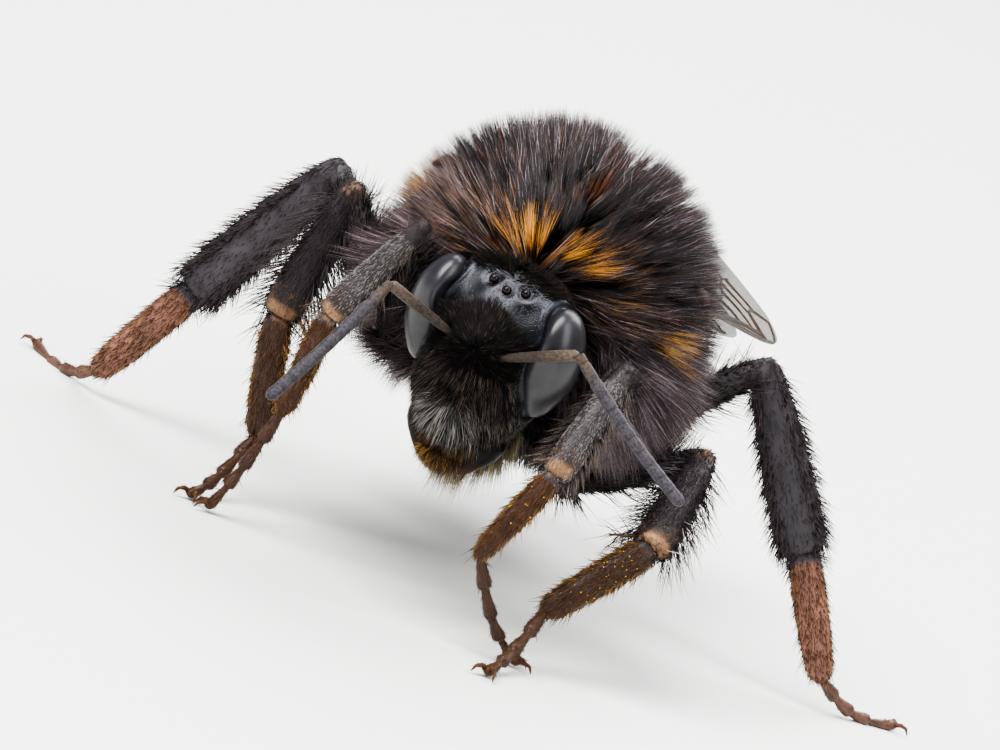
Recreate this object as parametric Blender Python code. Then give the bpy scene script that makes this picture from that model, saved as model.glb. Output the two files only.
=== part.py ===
"""A queen bumblebee at life size, standing with her head a little turned and her wings folded.

The bee faces -Y, her left side is +X and the floor is z = 0. Sizes below are millimetres and
degrees; every piece is brought to metres as it is placed. The solids reach the tips of the coat.
"""
import math

import bmesh
import bpy
from mathutils import Matrix, Vector

MM = 0.001
GAP = 0.1               # thin cut between neighbouring pieces
ORIGIN = (0.0, 3.63)    # floor point under the model's middle, on the thorax's own axes

# Stance of the body
THORAX_CENTRE = (0.0, 0.0, 8.0)
NOSE_UP = 3
LEAN_LEFT = 3

# Head capsule: height up the face, half width, how far the face and the back of the head reach
HEAD_CENTRE = (-0.08, -4.6, -1.35)
HEAD_TURN = (-11, 11, 0)            # to her right, nose down, left side down
HEAD_RINGS = (
    (-2.55, 0.72, 0.98, 0.20),
    (-2.35, 1.00, 1.25, 0.42),
    (-1.70, 1.34, 1.60, 0.80),
    (-0.95, 1.72, 1.72, 1.05),
    (-0.20, 1.93, 1.60, 1.15),
    (0.60, 2.00, 1.42, 1.18),
    (1.30, 1.98, 1.15, 1.12),
    (1.90, 1.70, 0.75, 0.95),
    (2.25, 1.15, 0.30, 0.70),
    (2.40, 0.50, 0.00, 0.35),
)
EYE_CENTRE = (1.65, -0.25, 0.60)
EYE_HALF = (0.76, 0.92, 1.49)
EYE_LEAN = 1
JAW_HINGE_AND_TIP = ((1.05, -0.40, -1.95), (0.24, -0.74, -2.90))
LABRUM_HALF = (0.62, 0.30, 0.32)
LABRUM_CENTRE = (0, -1.02, -2.66)
SOCKET = (0.71, -1.28, 0.50)

# Antennae: direction (out to the side, forward, up) of the scape and of the flagellum
SCAPE_LENGTH = 2.3
FLAGELLUM_LENGTH = 4.5
FEELER_HALF = 0.25
ANTENNA_AIM = {"left": ((0.82, 0.40, 0.46), (0.85, 0.15, -0.48)),
               "right": ((0.75, 0.56, 0.30), (0.28, 0.59, -0.76))}

# Thorax and abdomen with their coat
THORAX_HALF = (4.95, 4.85, 5.1)
THORAX_BELLY = 3.55
WAIST = 3.9
ABDOMEN_START = (0.0, 4.0, -1.35)
ABDOMEN_LENGTH = 10.8
ABDOMEN_DROOP = 7
ABDOMEN_HALF = (4.55, 3.35)
ABDOMEN_WIDEST = 0.38
SEGMENT_ENDS = (0.0, 0.14, 0.36, 0.56, 0.73, 0.88, 1.0)

# Wings: root, length, chord, fold outwards, how far they slope like a roof
WING_ROOT = (4.0, 0.4, 1.85)
WING_THICKNESS = 0.5
WING_SIZE = {"fore": (16.6, 5.0), "hind": (11.6, 3.4)}
WING_FOLD = {"left": 6, "right": 3}
WING_ROOF = 25
WING_SLOPE = 4
TEGULA_HALF = (0.55, 0.8, 0.45)

# Legs: hip on the thorax, then length, half width and half depth of each segment
SEGMENTS = ("coxa", "femur", "tibia", "basitarsus", "tarsus")
LEG_BUILD = {
    "front": ((1.2, -2.6, -2.2), (1.7, 3.3, 3.3, 2.7, 3.2),
              ((0.45, 0.45), (0.43, 0.40), (0.50, 0.42), (0.40, 0.34), (0.26, 0.26))),
    "middle": ((1.7, -0.7, -2.7), (1.7, 3.6, 3.9, 3.2, 3.2),
               ((0.50, 0.48), (0.46, 0.42), (0.62, 0.50), (0.50, 0.38), (0.27, 0.26))),
    "hind": ((1.7, 1.3, -2.6), (2.1, 4.4, 5.3, 3.6, 3.4),
             ((0.55, 0.52), (0.52, 0.46), (0.80, 0.42), (0.56, 0.34), (0.28, 0.26))),
}
# Each segment's swing forward and rise, in degrees; the tarsus's rise follows from the floor.
LEG_POSE = {
    "front_left": ((20, -35), (57, 65), (106, -61), (145, -67), -30),
    "middle_left": ((-14, -46), (-5, 35), (92, -34), (140, -46), 100),
    "hind_left": ((-33, 11), (-43, 37), (-17, -54), (-8, -58), -44),
    "front_right": ((10, -5), (82, 72), (-4, -67), (60, -86), 10),
    "middle_right": ((2, 13), (0, 55), (1, -82), (161, -75), 78),
    "hind_right": ((-9, 0), (-22, 46), (-8, -63), (-6, -63), -45),
}
FOOT_HEIGHT = 0.16      # of the last joint's middle, so that its underside is cut flat by the floor
FOOT_SAG = 0.35

BODY = (Matrix.Translation(THORAX_CENTRE)
        @ Matrix.Rotation(math.radians(-NOSE_UP), 4, "X")
        @ Matrix.Rotation(math.radians(LEAN_LEFT), 4, "Y"))
HEAD = (BODY @ Matrix.Translation(HEAD_CENTRE)
        @ Matrix.Rotation(math.radians(NOSE_UP), 4, "X")
        @ Matrix.Rotation(math.radians(-LEAN_LEFT), 4, "Y")
        @ Matrix.Rotation(math.radians(HEAD_TURN[0]), 4, "Z")
        @ Matrix.Rotation(math.radians(HEAD_TURN[1]), 4, "X")
        @ Matrix.Rotation(math.radians(HEAD_TURN[2]), 4, "Y"))
SIDES = {"left": 1, "right": -1}


def finish(name, color, roughness):
    material = bpy.data.materials.new(name)
    material.use_nodes = True
    shader = material.node_tree.nodes["Principled BSDF"]
    shader.inputs["Base Color"].default_value = (*color, 1.0)
    shader.inputs["Roughness"].default_value = roughness
    return material


def ring(bm, centre, across, deep, sides, square=2.0, back=None):
    """One closed loop of edges; across and deep are its half axes, back the deep axis behind."""
    verts = bmesh.ops.create_circle(bm, segments=sides, radius=1.0)["verts"]
    for vert in verts:
        x, y = (math.copysign(abs(part) ** (2 / square), part) for part in vert.co.xy)
        behind = back if back is not None and y > 0 else deep
        vert.co = Vector(centre) + Vector(across) * x + Vector(behind) * y
    return list({edge for vert in verts for edge in vert.link_edges})


def skin(bm, rings):
    """Bridge the rings in turn and close both ends."""
    for first, second in zip(rings, rings[1:]):
        bmesh.ops.bridge_loops(bm, edges=first + second)
    for end in (rings[0], rings[-1]):
        bmesh.ops.edgeloop_fill(bm, edges=end)
    bmesh.ops.recalc_face_normals(bm, faces=bm.faces[:])


def cut(bm, point, normal):
    """Take away what lies beyond a plane and close the mesh there."""
    geom = bm.verts[:] + bm.edges[:] + bm.faces[:]
    found = bmesh.ops.bisect_plane(bm, geom=geom, dist=1e-5, plane_co=point,
                                   plane_no=normal, clear_outer=True)
    edges = [item for item in found["geom_cut"] if isinstance(item, bmesh.types.BMEdge)]
    if edges:
        bmesh.ops.holes_fill(bm, edges=edges, sides=0)
        bmesh.ops.recalc_face_normals(bm, faces=bm.faces[:])


def place(name, bm, material, matrix, pivot=(0, 0, 0)):
    """Make the object, with its own origin at the pivot and its mesh in metres."""
    bmesh.ops.transform(bm, matrix=matrix, verts=bm.verts)
    start = matrix @ Vector(pivot)
    bmesh.ops.translate(bm, vec=-start, verts=bm.verts)
    bmesh.ops.scale(bm, vec=(MM, MM, MM), verts=bm.verts)
    mesh = bpy.data.meshes.new(name)
    bm.to_mesh(mesh)
    bm.free()
    mesh.shade_smooth()
    mesh.set_sharp_from_angle(angle=math.radians(40))
    obj = bpy.data.objects.new(name, mesh)
    if material is not None:
        mesh.materials.append(material)
    obj.location = (start - Vector((*ORIGIN, 0))) * MM
    bpy.context.collection.objects.link(obj)
    return obj


def guide(name, bm, matrix):
    """A cutter: it shapes other pieces and isn't one itself."""
    obj = place(name, bm, None, matrix)
    obj.hide_render = True
    obj.display_type = "WIRE"
    return obj


def carve(obj, cutter):
    boolean = obj.modifiers.new(cutter.name, "BOOLEAN")
    boolean.operation = "DIFFERENCE"
    boolean.object = cutter


def ellipsoid(half, around=16, up=10):
    bm = bmesh.new()
    bmesh.ops.create_uvsphere(bm, u_segments=around, v_segments=up, radius=1.0)
    bmesh.ops.scale(bm, vec=half, verts=bm.verts)
    return bm


def head_shape(grow=0.0):
    """The capsule as rings from mouth to crown; grow makes the cutter for its neighbours."""
    bm = bmesh.new()
    rings = []
    for height, half_width, face, back in HEAD_RINGS:
        end = (height == HEAD_RINGS[-1][0]) - (height == HEAD_RINGS[0][0])
        rings.append(ring(bm, (0, 0, height + end * grow), (half_width + grow, 0, 0),
                          (0, face + grow, 0), 20, 2.25, back=(0, back + grow, 0)))
    skin(bm, rings)
    return bm


def eye_shape(side, grow=0.0):
    """A long bean, broader at the top, leaning inwards towards the crown."""
    bm = ellipsoid([half + grow for half in EYE_HALF], 14, 12)
    for vert in bm.verts:
        vert.co.y *= 1 + 0.14 * vert.co.z / EYE_HALF[2]
    lean = Matrix.Rotation(math.radians(-EYE_LEAN * side), 4, "Y")
    centre = Matrix.Translation((EYE_CENTRE[0] * side, *EYE_CENTRE[1:]))
    bmesh.ops.transform(bm, matrix=centre @ lean, verts=bm.verts)
    return bm


def labrum_shape(grow=0.0):
    bm = ellipsoid([half + grow for half in LABRUM_HALF], 12, 8)
    bmesh.ops.translate(bm, vec=LABRUM_CENTRE, verts=bm.verts)
    return bm


def thorax_shape(grow=0.0):
    """A ball of coat, flatter underneath, cut off square at the waist."""
    bm = ellipsoid([half + grow for half in THORAX_HALF], 28, 18)
    for vert in bm.verts:
        if vert.co.z < 0:
            vert.co.z *= (THORAX_BELLY + grow) / (THORAX_HALF[2] + grow)
    cut(bm, (0, WAIST + grow, 0), (0, 1, 0))
    return bm


def swelling(along):
    """Half size of the abdomen as a share of its largest, from the waist (0) to the tip (1)."""
    if along < ABDOMEN_WIDEST:
        return math.sqrt(1 - 0.80 * ((ABDOMEN_WIDEST - along) / ABDOMEN_WIDEST) ** 2.4)
    reach = (along - ABDOMEN_WIDEST) / (1 - ABDOMEN_WIDEST)
    return max(0.0, 1 - reach ** 2.3) ** 0.62


def limb(start, end, half_width, half_depth, shape, sides=8, bend=0.0):
    """A rounded bar along one leg segment; shape lists (share of the length, share of the width)."""
    start, end = Vector(start), Vector(end)
    line = end - start
    run = line.normalized()
    across = run.cross(Vector((0, 1, 0))).normalized()
    deep = run.cross(across).normalized()
    bm = bmesh.new()
    rings = []
    for share, fullness in shape:
        sag = Vector((0, 0, -bend * math.sin(math.pi * min(max(share, 0), 1))))
        rings.append(ring(bm, start + line * share + sag, across * half_width * fullness,
                          deep * half_depth * fullness, sides))
    skin(bm, rings)
    return bm


LIMB_SHAPES = {
    "coxa": ((-0.12, 0.55), (0.0, 0.95), (0.4, 1.0), (0.9, 0.85), (1.12, 0.45)),
    "femur": ((-0.06, 0.45), (0.04, 0.8), (0.3, 1.0), (0.75, 0.9), (0.98, 0.75), (1.07, 0.4)),
    "tibia": ((-0.08, 0.35), (0.0, 0.62), (0.3, 0.85), (0.72, 1.0), (0.96, 0.92), (1.04, 0.5)),
    "basitarsus": ((-0.06, 0.45), (0.04, 0.85), (0.35, 1.0), (0.8, 0.9), (0.97, 0.7), (1.04, 0.4)),
    "tarsus": ((-0.05, 0.5), (0.03, 0.92), (0.24, 1.0), (0.27, 0.86), (0.48, 1.0), (0.51, 0.86),
               (0.70, 1.0), (0.73, 0.84), (0.92, 0.98), (1.0, 0.9), (1.08, 0.6)),
}


def leg_joints(leg):
    """The six points from hip to foot."""
    pair, side = leg.split("_")
    hip, lengths, _ = LEG_BUILD[pair]
    points = [BODY @ Vector((hip[0] * SIDES[side], hip[1], hip[2]))]
    for length, pose in zip(lengths, LEG_POSE[leg]):
        if isinstance(pose, tuple):
            swing, rise = (math.radians(angle) for angle in pose)
        else:
            swing = math.radians(pose)
            rise = -math.asin((points[-1].z - FOOT_HEIGHT) / length)
        step = Vector((SIDES[side] * math.cos(swing) * math.cos(rise),
                       -math.sin(swing) * math.cos(rise), math.sin(rise)))
        points.append(points[-1] + step * length)
    return points


def leg_segment(leg, index, grow=0.0):
    """One segment with its ends mitred against its neighbours; grow makes a cutter."""
    points = leg_joints(leg)
    half_width, half_depth = LEG_BUILD[leg.split("_")[0]][2][index]
    kind = SEGMENTS[index]
    start, end = points[index], points[index + 1]
    run = (end - start).normalized()
    bm = limb(start - run * 3 * grow, end + run * grow, half_width + grow, half_depth + grow,
              LIMB_SHAPES[kind], bend=FOOT_SAG if kind == "tarsus" else 0.0)
    if grow:
        return bm
    if index > 0:
        mitre = (run + (start - points[index - 1]).normalized()).normalized()
        cut(bm, start + mitre * GAP / 2, -mitre)
    if index < 4:
        mitre = (run + (points[index + 2] - end).normalized()).normalized()
        cut(bm, end - mitre * GAP / 2, mitre)
    cut(bm, (0, 0, 0), (0, 0, -1))
    return bm


def wing_shape(kind, side):
    """A plate with a straight leading edge, widest beyond the middle, and a rounded tip."""
    length, chord = WING_SIZE[kind]
    bm = bmesh.new()
    rings = []
    stations = 12
    for step in range(stations + 1):
        along = 1 - (1 - step / stations) ** 1.3
        swell = math.sin(math.pi * along ** 1.5) ** 0.55 if 0 < along < 1 else 0.0
        width = chord * max(0.15 if along < 0.5 else 0.08, swell)
        lead = 0.3 * math.sin(math.pi * along) - 0.26 * chord * along ** 8
        centre = (-side * (width / 2 - lead), along * length, 0)
        rings.append(ring(bm, centre, (width / 2, 0, 0), (0, 0, WING_THICKNESS / 2), 8, 3.0))
    skin(bm, rings)
    return bm


def build_head(finishes):
    head = place("head", head_shape(), finishes["face"], HEAD)
    head_cutter = guide("cutter_head", head_shape(GAP), HEAD)
    labrum_cutter = guide("cutter_labrum", labrum_shape(GAP), HEAD)
    cutters = [head_cutter]
    for side, sign in SIDES.items():
        place("eye_" + side, eye_shape(sign), finishes["eye"], HEAD)
        eye_cutter = guide("cutter_eye_" + side, eye_shape(sign, GAP), HEAD)
        carve(head, eye_cutter)
        cutters.append(eye_cutter)
        build_antenna(side, sign, finishes, head_cutter)
        hinge, tip = ((x * sign, y, z) for x, y, z in JAW_HINGE_AND_TIP)
        jaw = limb(hinge, tip, 0.42, 0.38,
                   ((0.0, 0.7), (0.25, 1.0), (0.7, 0.9), (0.95, 0.6), (1.03, 0.35)), 8)
        cut(jaw, (GAP / 2 * sign, 0, 0), (-sign, 0, 0))
        mandible = place("mandible_" + side, jaw, finishes["plate"], HEAD)
        carve(mandible, head_cutter)
        carve(mandible, labrum_cutter)
    carve(place("labrum", labrum_shape(), finishes["gold"], HEAD), head_cutter)
    tongue = limb((0, 0.05, -2.86), (0, 1.9, -2.85), 0.42, 0.3,
                  ((0.0, 0.6), (0.15, 1.0), (0.8, 0.8), (1.0, 0.4)), 8)
    carve(place("proboscis", tongue, finishes["plate"], HEAD), head_cutter)
    return cutters


def build_antenna(side, sign, finishes, head_cutter):
    socket = HEAD @ Vector((SOCKET[0] * sign, *SOCKET[1:]))
    aims = [Vector((out * sign, -ahead, up)).normalized() for out, ahead, up in ANTENNA_AIM[side]]
    elbow = socket + aims[0] * SCAPE_LENGTH
    tip = elbow + aims[1] * FLAGELLUM_LENGTH
    mitre = (aims[0] + aims[1]).normalized()
    scape = limb(socket, elbow, FEELER_HALF, FEELER_HALF,
                 ((0.0, 1.0), (0.5, 0.96), (0.96, 1.0), (1.06, 0.6)), 8)
    cut(scape, elbow - mitre * GAP / 2, mitre)
    carve(place("scape_" + side, scape, finishes["feeler"], Matrix(), socket), head_cutter)
    flagellum = limb(elbow, tip, FEELER_HALF, FEELER_HALF,
                     ((-0.03, 0.6), (0.0, 0.94), (0.08, 0.96), (0.3, 1.0), (0.6, 1.0), (0.92, 0.98),
                      (0.98, 0.75), (1.0, 0.4)), 8, bend=0.12)
    cut(flagellum, elbow + mitre * GAP / 2, -mitre)
    place("flagellum_" + side, flagellum, finishes["feeler"], Matrix(), elbow)


def build_abdomen(finishes):
    droop = Matrix.Rotation(math.radians(-ABDOMEN_DROOP), 4, "X")
    frame = BODY @ Matrix.Translation(ABDOMEN_START) @ droop
    for number, (first, last) in enumerate(zip(SEGMENT_ENDS, SEGMENT_ENDS[1:]), 1):
        bm = bmesh.new()
        rings = []
        begin, finish_at = first + GAP / 2 / ABDOMEN_LENGTH, last - GAP / 2 / ABDOMEN_LENGTH
        steps = 3
        for step in range(steps + 1):
            along = begin + (finish_at - begin) * step / steps
            share = swelling(min(along, 0.985)) * (1 + 0.012 * (step - 1))
            rings.append(ring(bm, (0, along * ABDOMEN_LENGTH, 0), (ABDOMEN_HALF[0] * share, 0, 0),
                              (0, 0, ABDOMEN_HALF[1] * share), 22, 2.1))
        skin(bm, rings)
        color = finishes["gold" if number == 2 else "pale" if number > 3 else "coat"]
        place("abdomen_" + str(number), bm, color, frame)


def build_wings(finishes, thorax_cutter):
    for side, sign in SIDES.items():
        fold = Matrix.Rotation(math.radians(-WING_FOLD[side] * sign), 4, "Z")
        slope = Matrix.Rotation(math.radians(-WING_SLOPE), 4, "X")
        roof = Matrix.Rotation(math.radians(WING_ROOF * sign), 4, "Y")
        root = Matrix.Translation((WING_ROOT[0] * sign, *WING_ROOT[1:]))
        for kind, drop in (("fore", 0.0), ("hind", WING_THICKNESS + GAP)):
            under = Matrix.Translation((-0.5 * sign if drop else 0, 0.9 if drop else 0, -drop))
            wing = place(kind + "wing_" + side, wing_shape(kind, sign), finishes["wing"],
                         BODY @ root @ fold @ slope @ roof @ under)
            carve(wing, thorax_cutter)
        scale = ellipsoid(TEGULA_HALF, 12, 8)
        tegula = place("tegula_" + side, scale, finishes["amber"],
                       BODY @ Matrix.Translation((4.15 * sign, -0.75, 2.1)) @ roof)
        carve(tegula, thorax_cutter)


def build_thorax(finishes, head_cutters):
    thorax = place("thorax", thorax_shape(), finishes["coat"], BODY)
    for cutter in head_cutters:
        carve(thorax, cutter)
    for leg in LEG_POSE:
        for index in (0, 1):
            name = "cutter_" + leg + "_" + SEGMENTS[index]
            carve(thorax, guide(name, leg_segment(leg, index, GAP), Matrix()))
    weld = thorax.modifiers.new("join_slivers", "WELD")
    weld.merge_threshold = 0.003 * MM


def build_legs(finishes, head_cutter):
    for leg in LEG_POSE:
        joints = leg_joints(leg)
        for index, kind in enumerate(SEGMENTS):
            color = finishes["plate" if index < 3 else "amber"]
            piece = place(leg + "_" + kind, leg_segment(leg, index), color, Matrix(), joints[index])
            if leg.startswith("front") and kind == "coxa":
                carve(piece, head_cutter)


def build():
    for old in list(bpy.data.objects):
        bpy.data.objects.remove(old, do_unlink=True)
    finishes = {
        "coat": finish("dark_coat", (0.012, 0.009, 0.008), 0.9),
        "gold": finish("golden_coat", (0.55, 0.24, 0.04), 0.85),
        "pale": finish("pale_coat", (0.60, 0.50, 0.36), 0.9),
        "face": finish("face_coat", (0.010, 0.008, 0.007), 0.6),
        "plate": finish("black_plate", (0.012, 0.011, 0.012), 0.3),
        "amber": finish("amber_plate", (0.16, 0.06, 0.02), 0.4),
        "feeler": finish("feeler", (0.06, 0.045, 0.04), 0.6),
        "eye": finish("eye", (0.02, 0.02, 0.025), 0.15),
        "wing": finish("wing", (0.22, 0.14, 0.07), 0.3),
    }
    head_cutters = build_head(finishes)
    build_thorax(finishes, head_cutters)
    build_abdomen(finishes)
    build_wings(finishes, guide("cutter_thorax", thorax_shape(GAP), BODY))
    build_legs(finishes, head_cutters[0])


build()
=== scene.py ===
"""A queen bumblebee at life size: shell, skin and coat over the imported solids.

She faces -Y, her left side is +X and the floor is z = 0. Sizes below are millimetres and degrees;
a piece is brought to metres as it is placed.
"""
import math

import bmesh
import bpy
import numpy as np
from mathutils import Matrix, Vector
from mathutils.bvhtree import BVHTree
from mathutils.kdtree import KDTree


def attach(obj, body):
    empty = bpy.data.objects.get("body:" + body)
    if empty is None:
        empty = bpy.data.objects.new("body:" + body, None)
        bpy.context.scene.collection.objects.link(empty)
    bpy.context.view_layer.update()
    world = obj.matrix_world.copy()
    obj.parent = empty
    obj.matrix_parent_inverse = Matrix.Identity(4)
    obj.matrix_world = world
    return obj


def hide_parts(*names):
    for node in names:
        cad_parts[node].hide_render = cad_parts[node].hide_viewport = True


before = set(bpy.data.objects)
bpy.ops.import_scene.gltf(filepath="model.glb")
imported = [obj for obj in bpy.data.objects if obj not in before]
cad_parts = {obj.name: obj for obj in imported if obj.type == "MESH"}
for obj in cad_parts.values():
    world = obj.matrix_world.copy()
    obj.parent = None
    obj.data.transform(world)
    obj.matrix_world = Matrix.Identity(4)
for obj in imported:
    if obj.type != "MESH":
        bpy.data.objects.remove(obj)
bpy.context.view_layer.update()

MM = 0.001
SIDES = {"left": 1, "right": -1}

# ---------------------------------------------------------------- the solids' own sizes
THORAX_CENTRE = (0.0, -3.63, 8.0)
NOSE_UP = 3
LEAN_LEFT = 3
HEAD_CENTRE = (-0.08, -4.6, -1.35)
HEAD_TURN = (-11, 11, 0)
# height up the face, half width, how far the face and the back of the head reach
HEAD_RINGS = (
    (-2.55, 0.72, 0.98, 0.20), (-2.35, 1.00, 1.25, 0.42), (-1.70, 1.34, 1.60, 0.80),
    (-0.95, 1.72, 1.72, 1.05), (-0.20, 1.93, 1.60, 1.15), (0.60, 2.00, 1.42, 1.18),
    (1.30, 1.98, 1.15, 1.12), (1.90, 1.70, 0.75, 0.95), (2.25, 1.15, 0.30, 0.70),
    (2.40, 0.50, 0.00, 0.35))
EYE_CENTRE = (1.65, -0.25, 0.60)
EYE_HALF = (0.76, 0.92, 1.49)
EYE_LEAN = 1
JAW_HINGE = (1.05, -0.40, -1.95)
JAW_TIP = (0.24, -0.74, -2.90)
LABRUM_HALF = (0.62, 0.30, 0.32)
LABRUM_CENTRE = (0, -1.02, -2.66)
SOCKET = (0.71, -1.28, 0.50)
SCAPE_LENGTH = 2.3
FLAGELLUM_LENGTH = 4.5
ANTENNA_AIM = {"left": ((0.82, 0.40, 0.46), (0.85, 0.15, -0.48)),
               "right": ((0.75, 0.56, 0.30), (0.28, 0.59, -0.76))}
THORAX_HALF = (4.95, 4.85, 5.1)
THORAX_BELLY = 3.55
WAIST = 3.9
ABDOMEN_START = (0.0, 4.0, -1.35)
ABDOMEN_LENGTH = 10.8
ABDOMEN_DROOP = 7
ABDOMEN_HALF = (4.55, 3.35)
ABDOMEN_WIDEST = 0.38
SEGMENT_ENDS = (0.0, 0.14, 0.36, 0.56, 0.73, 0.88, 1.0)
WING_ROOT = (4.0, 0.4, 1.85)
WING_SIZE = {"fore": (16.6, 5.0), "hind": (11.6, 3.4)}
WING_FOLD = {"left": 6, "right": 3}
WING_ROOF = 25
WING_SLOPE = 4
TEGULA_HALF = (0.55, 0.8, 0.45)
TEGULA_PLACE = (4.15, -0.75, 2.1)
SEGMENTS = ("coxa", "femur", "tibia", "basitarsus", "tarsus")
LEG_BUILD = {
    "front": ((1.2, -2.6, -2.2), (1.7, 3.3, 3.3, 2.7, 3.2),
              ((0.45, 0.45), (0.43, 0.40), (0.50, 0.42), (0.40, 0.34), (0.26, 0.26))),
    "middle": ((1.7, -0.7, -2.7), (1.7, 3.6, 3.9, 3.2, 3.2),
               ((0.50, 0.48), (0.46, 0.42), (0.62, 0.50), (0.50, 0.38), (0.27, 0.26))),
    "hind": ((1.7, 1.3, -2.6), (2.1, 4.4, 5.3, 3.6, 3.4),
             ((0.55, 0.52), (0.52, 0.46), (0.80, 0.42), (0.56, 0.34), (0.28, 0.26)))}
LEG_POSE = {
    "front_left": ((20, -35), (57, 65), (106, -61), (145, -67), -30),
    "middle_left": ((-14, -46), (-5, 35), (92, -34), (140, -46), 100),
    "hind_left": ((-33, 11), (-43, 37), (-17, -54), (-8, -58), -44),
    "front_right": ((10, -5), (82, 72), (-4, -67), (60, -86), 10),
    "middle_right": ((2, 13), (0, 55), (1, -82), (161, -75), 78),
    "hind_right": ((-9, 0), (-22, 46), (-8, -63), (-6, -63), -45)}
FOOT_HEIGHT = 0.16
FOOT_SAG = 0.35


def turn(degrees, axis):
    return Matrix.Rotation(math.radians(degrees), 4, axis)


BODY = Matrix.Translation(THORAX_CENTRE) @ turn(-NOSE_UP, "X") @ turn(LEAN_LEFT, "Y")
HEAD = (BODY @ Matrix.Translation(HEAD_CENTRE) @ turn(NOSE_UP, "X") @ turn(-LEAN_LEFT, "Y")
        @ turn(HEAD_TURN[0], "Z") @ turn(HEAD_TURN[1], "X") @ turn(HEAD_TURN[2], "Y"))
DROOP = Matrix.Translation(ABDOMEN_START) @ turn(-ABDOMEN_DROOP, "X")
ABDOMEN = BODY @ DROOP

# ---------------------------------------------------------------- the coat's depth and hairs
THORAX_SKIN = (3.55, 3.5, 3.75)     # half width, half length, height above the middle
BELLY_SKIN = 2.75                   # depth below the middle
HEAD_INSET = 0.10
ABDOMEN_INSET = 0.55
LEG_INSET = 0.09
# Hairs drawn on each skin, before it is thinned to the places where they grow
THORAX_HAIRS = 300000
ABDOMEN_HAIRS = 90000
FACE_HAIRS = 210000
LABRUM_HAIRS = 1900
LEG_HAIRS = 15000
# Length and width of a hair
THORAX_HAIR = (1.70, 0.024)
ABDOMEN_HAIR = (0.95, 0.045)
LABRUM_HAIR = (0.32, 0.026)
LEG_HAIR_WIDTH = 0.026
ROOT_DEPTH = 0.06       # of a hair in its skin
PATCH = 0.003           # size of a hair's place on the texture map
BRIGHTEST = 0.62        # linear tone that no hair passes


# ---------------------------------------------------------------- finishes
def linear(code):
    """An sRGB hex colour in linear light."""
    parts = [int(code[i:i + 2], 16) / 255 for i in (1, 3, 5)]
    return [p / 12.92 if p <= 0.04045 else ((p + 0.055) / 1.055) ** 2.4 for p in parts]


def tone(code):
    return np.array(linear(code))


def add(tree, kind, values=None, links=None, stops=None, **settings):
    """Add a node: settings are its own, values fill its sockets, links bring other sockets in."""
    made = tree.nodes.new("ShaderNode" + kind)
    for key, value in settings.items():
        setattr(made, key, value)
    for socket, value in (values or {}).items():
        made.inputs[socket].default_value = value
    for socket, source in (links or {}).items():
        tree.links.new(source, made.inputs[socket])
    if stops:
        ramp = made.color_ramp
        ramp.elements[0].position, ramp.elements[0].color = stops[0][0], stops[0][1]
        ramp.elements[1].position, ramp.elements[1].color = stops[-1][0], stops[-1][1]
        for position, color in stops[1:-1]:
            ramp.elements.new(position).color = color
    return made


def finish(name, **sockets):
    """A material whose shader has these constant values."""
    material = bpy.data.materials.new(name)
    material.use_nodes = True
    tree = material.node_tree
    shader = tree.nodes["Principled BSDF"]
    for socket, value in sockets.items():
        shader.inputs[socket.replace("_", " ")].default_value = value
    return material, tree, shader


def ramp(tree, amount, *stops):
    """Colours along a scale from 0 to 1, each a grey level or an sRGB code."""
    colors = [(at, (*linear(color), 1) if isinstance(color, str) else (color, color, color, 1))
              for at, color in stops]
    return add(tree, "ValToRGB", links={"Fac": amount}, stops=colors).outputs["Color"]


def noise(tree, where, size, detail):
    """Cloudy noise with lumps of about this size."""
    return add(tree, "TexNoise", {"Scale": 1 / (size * MM), "Detail": detail},
               {"Vector": where}).outputs["Fac"]


def cells(tree, where, size, randomness):
    """Distance to the middle of the nearest cell, for cells of this size."""
    return add(tree, "TexVoronoi", {"Scale": 1 / (size * MM), "Randomness": randomness},
               {"Vector": where}, feature="F1").outputs["Distance"]


def relief(tree, height, strength, depth, under=None):
    """Bumps of this depth, over another relief if one is given."""
    links = {"Height": height} if under is None else {"Height": height, "Normal": under}
    return add(tree, "Bump", {"Strength": strength, "Distance": depth * MM}, links).outputs["Normal"]


def tinted(tree, shade):
    """Each point's own tint, made lighter and darker by a shade."""
    tint = add(tree, "Attribute", attribute_name="Tint").outputs["Color"]
    return add(tree, "Mix", {0: 1.0}, {6: tint, 7: shade}, data_type="RGBA",
               blend_type="MULTIPLY").outputs[2]


def wire(tree, shader, **sources):
    for socket, source in sources.items():
        tree.links.new(source, shader.inputs[socket.replace("_", " ")])


def hair_finish(name, roughness, gloss):
    """Chitin hair: a glossy one catches a thin line of light, a velvety one drinks it."""
    material, tree, shader = finish(name, Roughness=roughness, IOR=1.55,
                                    Specular_IOR_Level=gloss)
    tint = add(tree, "Attribute", attribute_name="Tint")
    wire(tree, shader, Base_Color=tint.outputs["Color"])
    return material


def skin_finish(name, roughness, pit, depth, gloss, shine=(1.0, 1.0, 1.0, 1.0)):
    """Dark sclerotised shell, tinted as its coat is, with punctures where the hairs stand."""
    material, tree, shader = finish(name, IOR=1.56, Specular_IOR_Level=gloss, Specular_Tint=shine)
    where = add(tree, "TexCoord").outputs["Object"]
    cloud = noise(tree, where, 0.6, 5.0)
    color = tinted(tree, ramp(tree, cloud, (0.3, 0.55), (0.7, 1.35)))
    matt = add(tree, "MapRange", {1: 0.3, 2: 0.7, 3: roughness - 0.07, 4: roughness + 0.12},
               {0: cloud}).outputs[0]
    grain = relief(tree, noise(tree, where, 0.05, 3.0), 0.35, depth * 0.4)
    cup = ramp(tree, cells(tree, where, pit, 0.8), (0.05, 0), (0.38, 1))
    wire(tree, shader, Base_Color=color, Roughness=matt, Normal=relief(tree, cup, 0.8, depth, grain))
    return material


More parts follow.
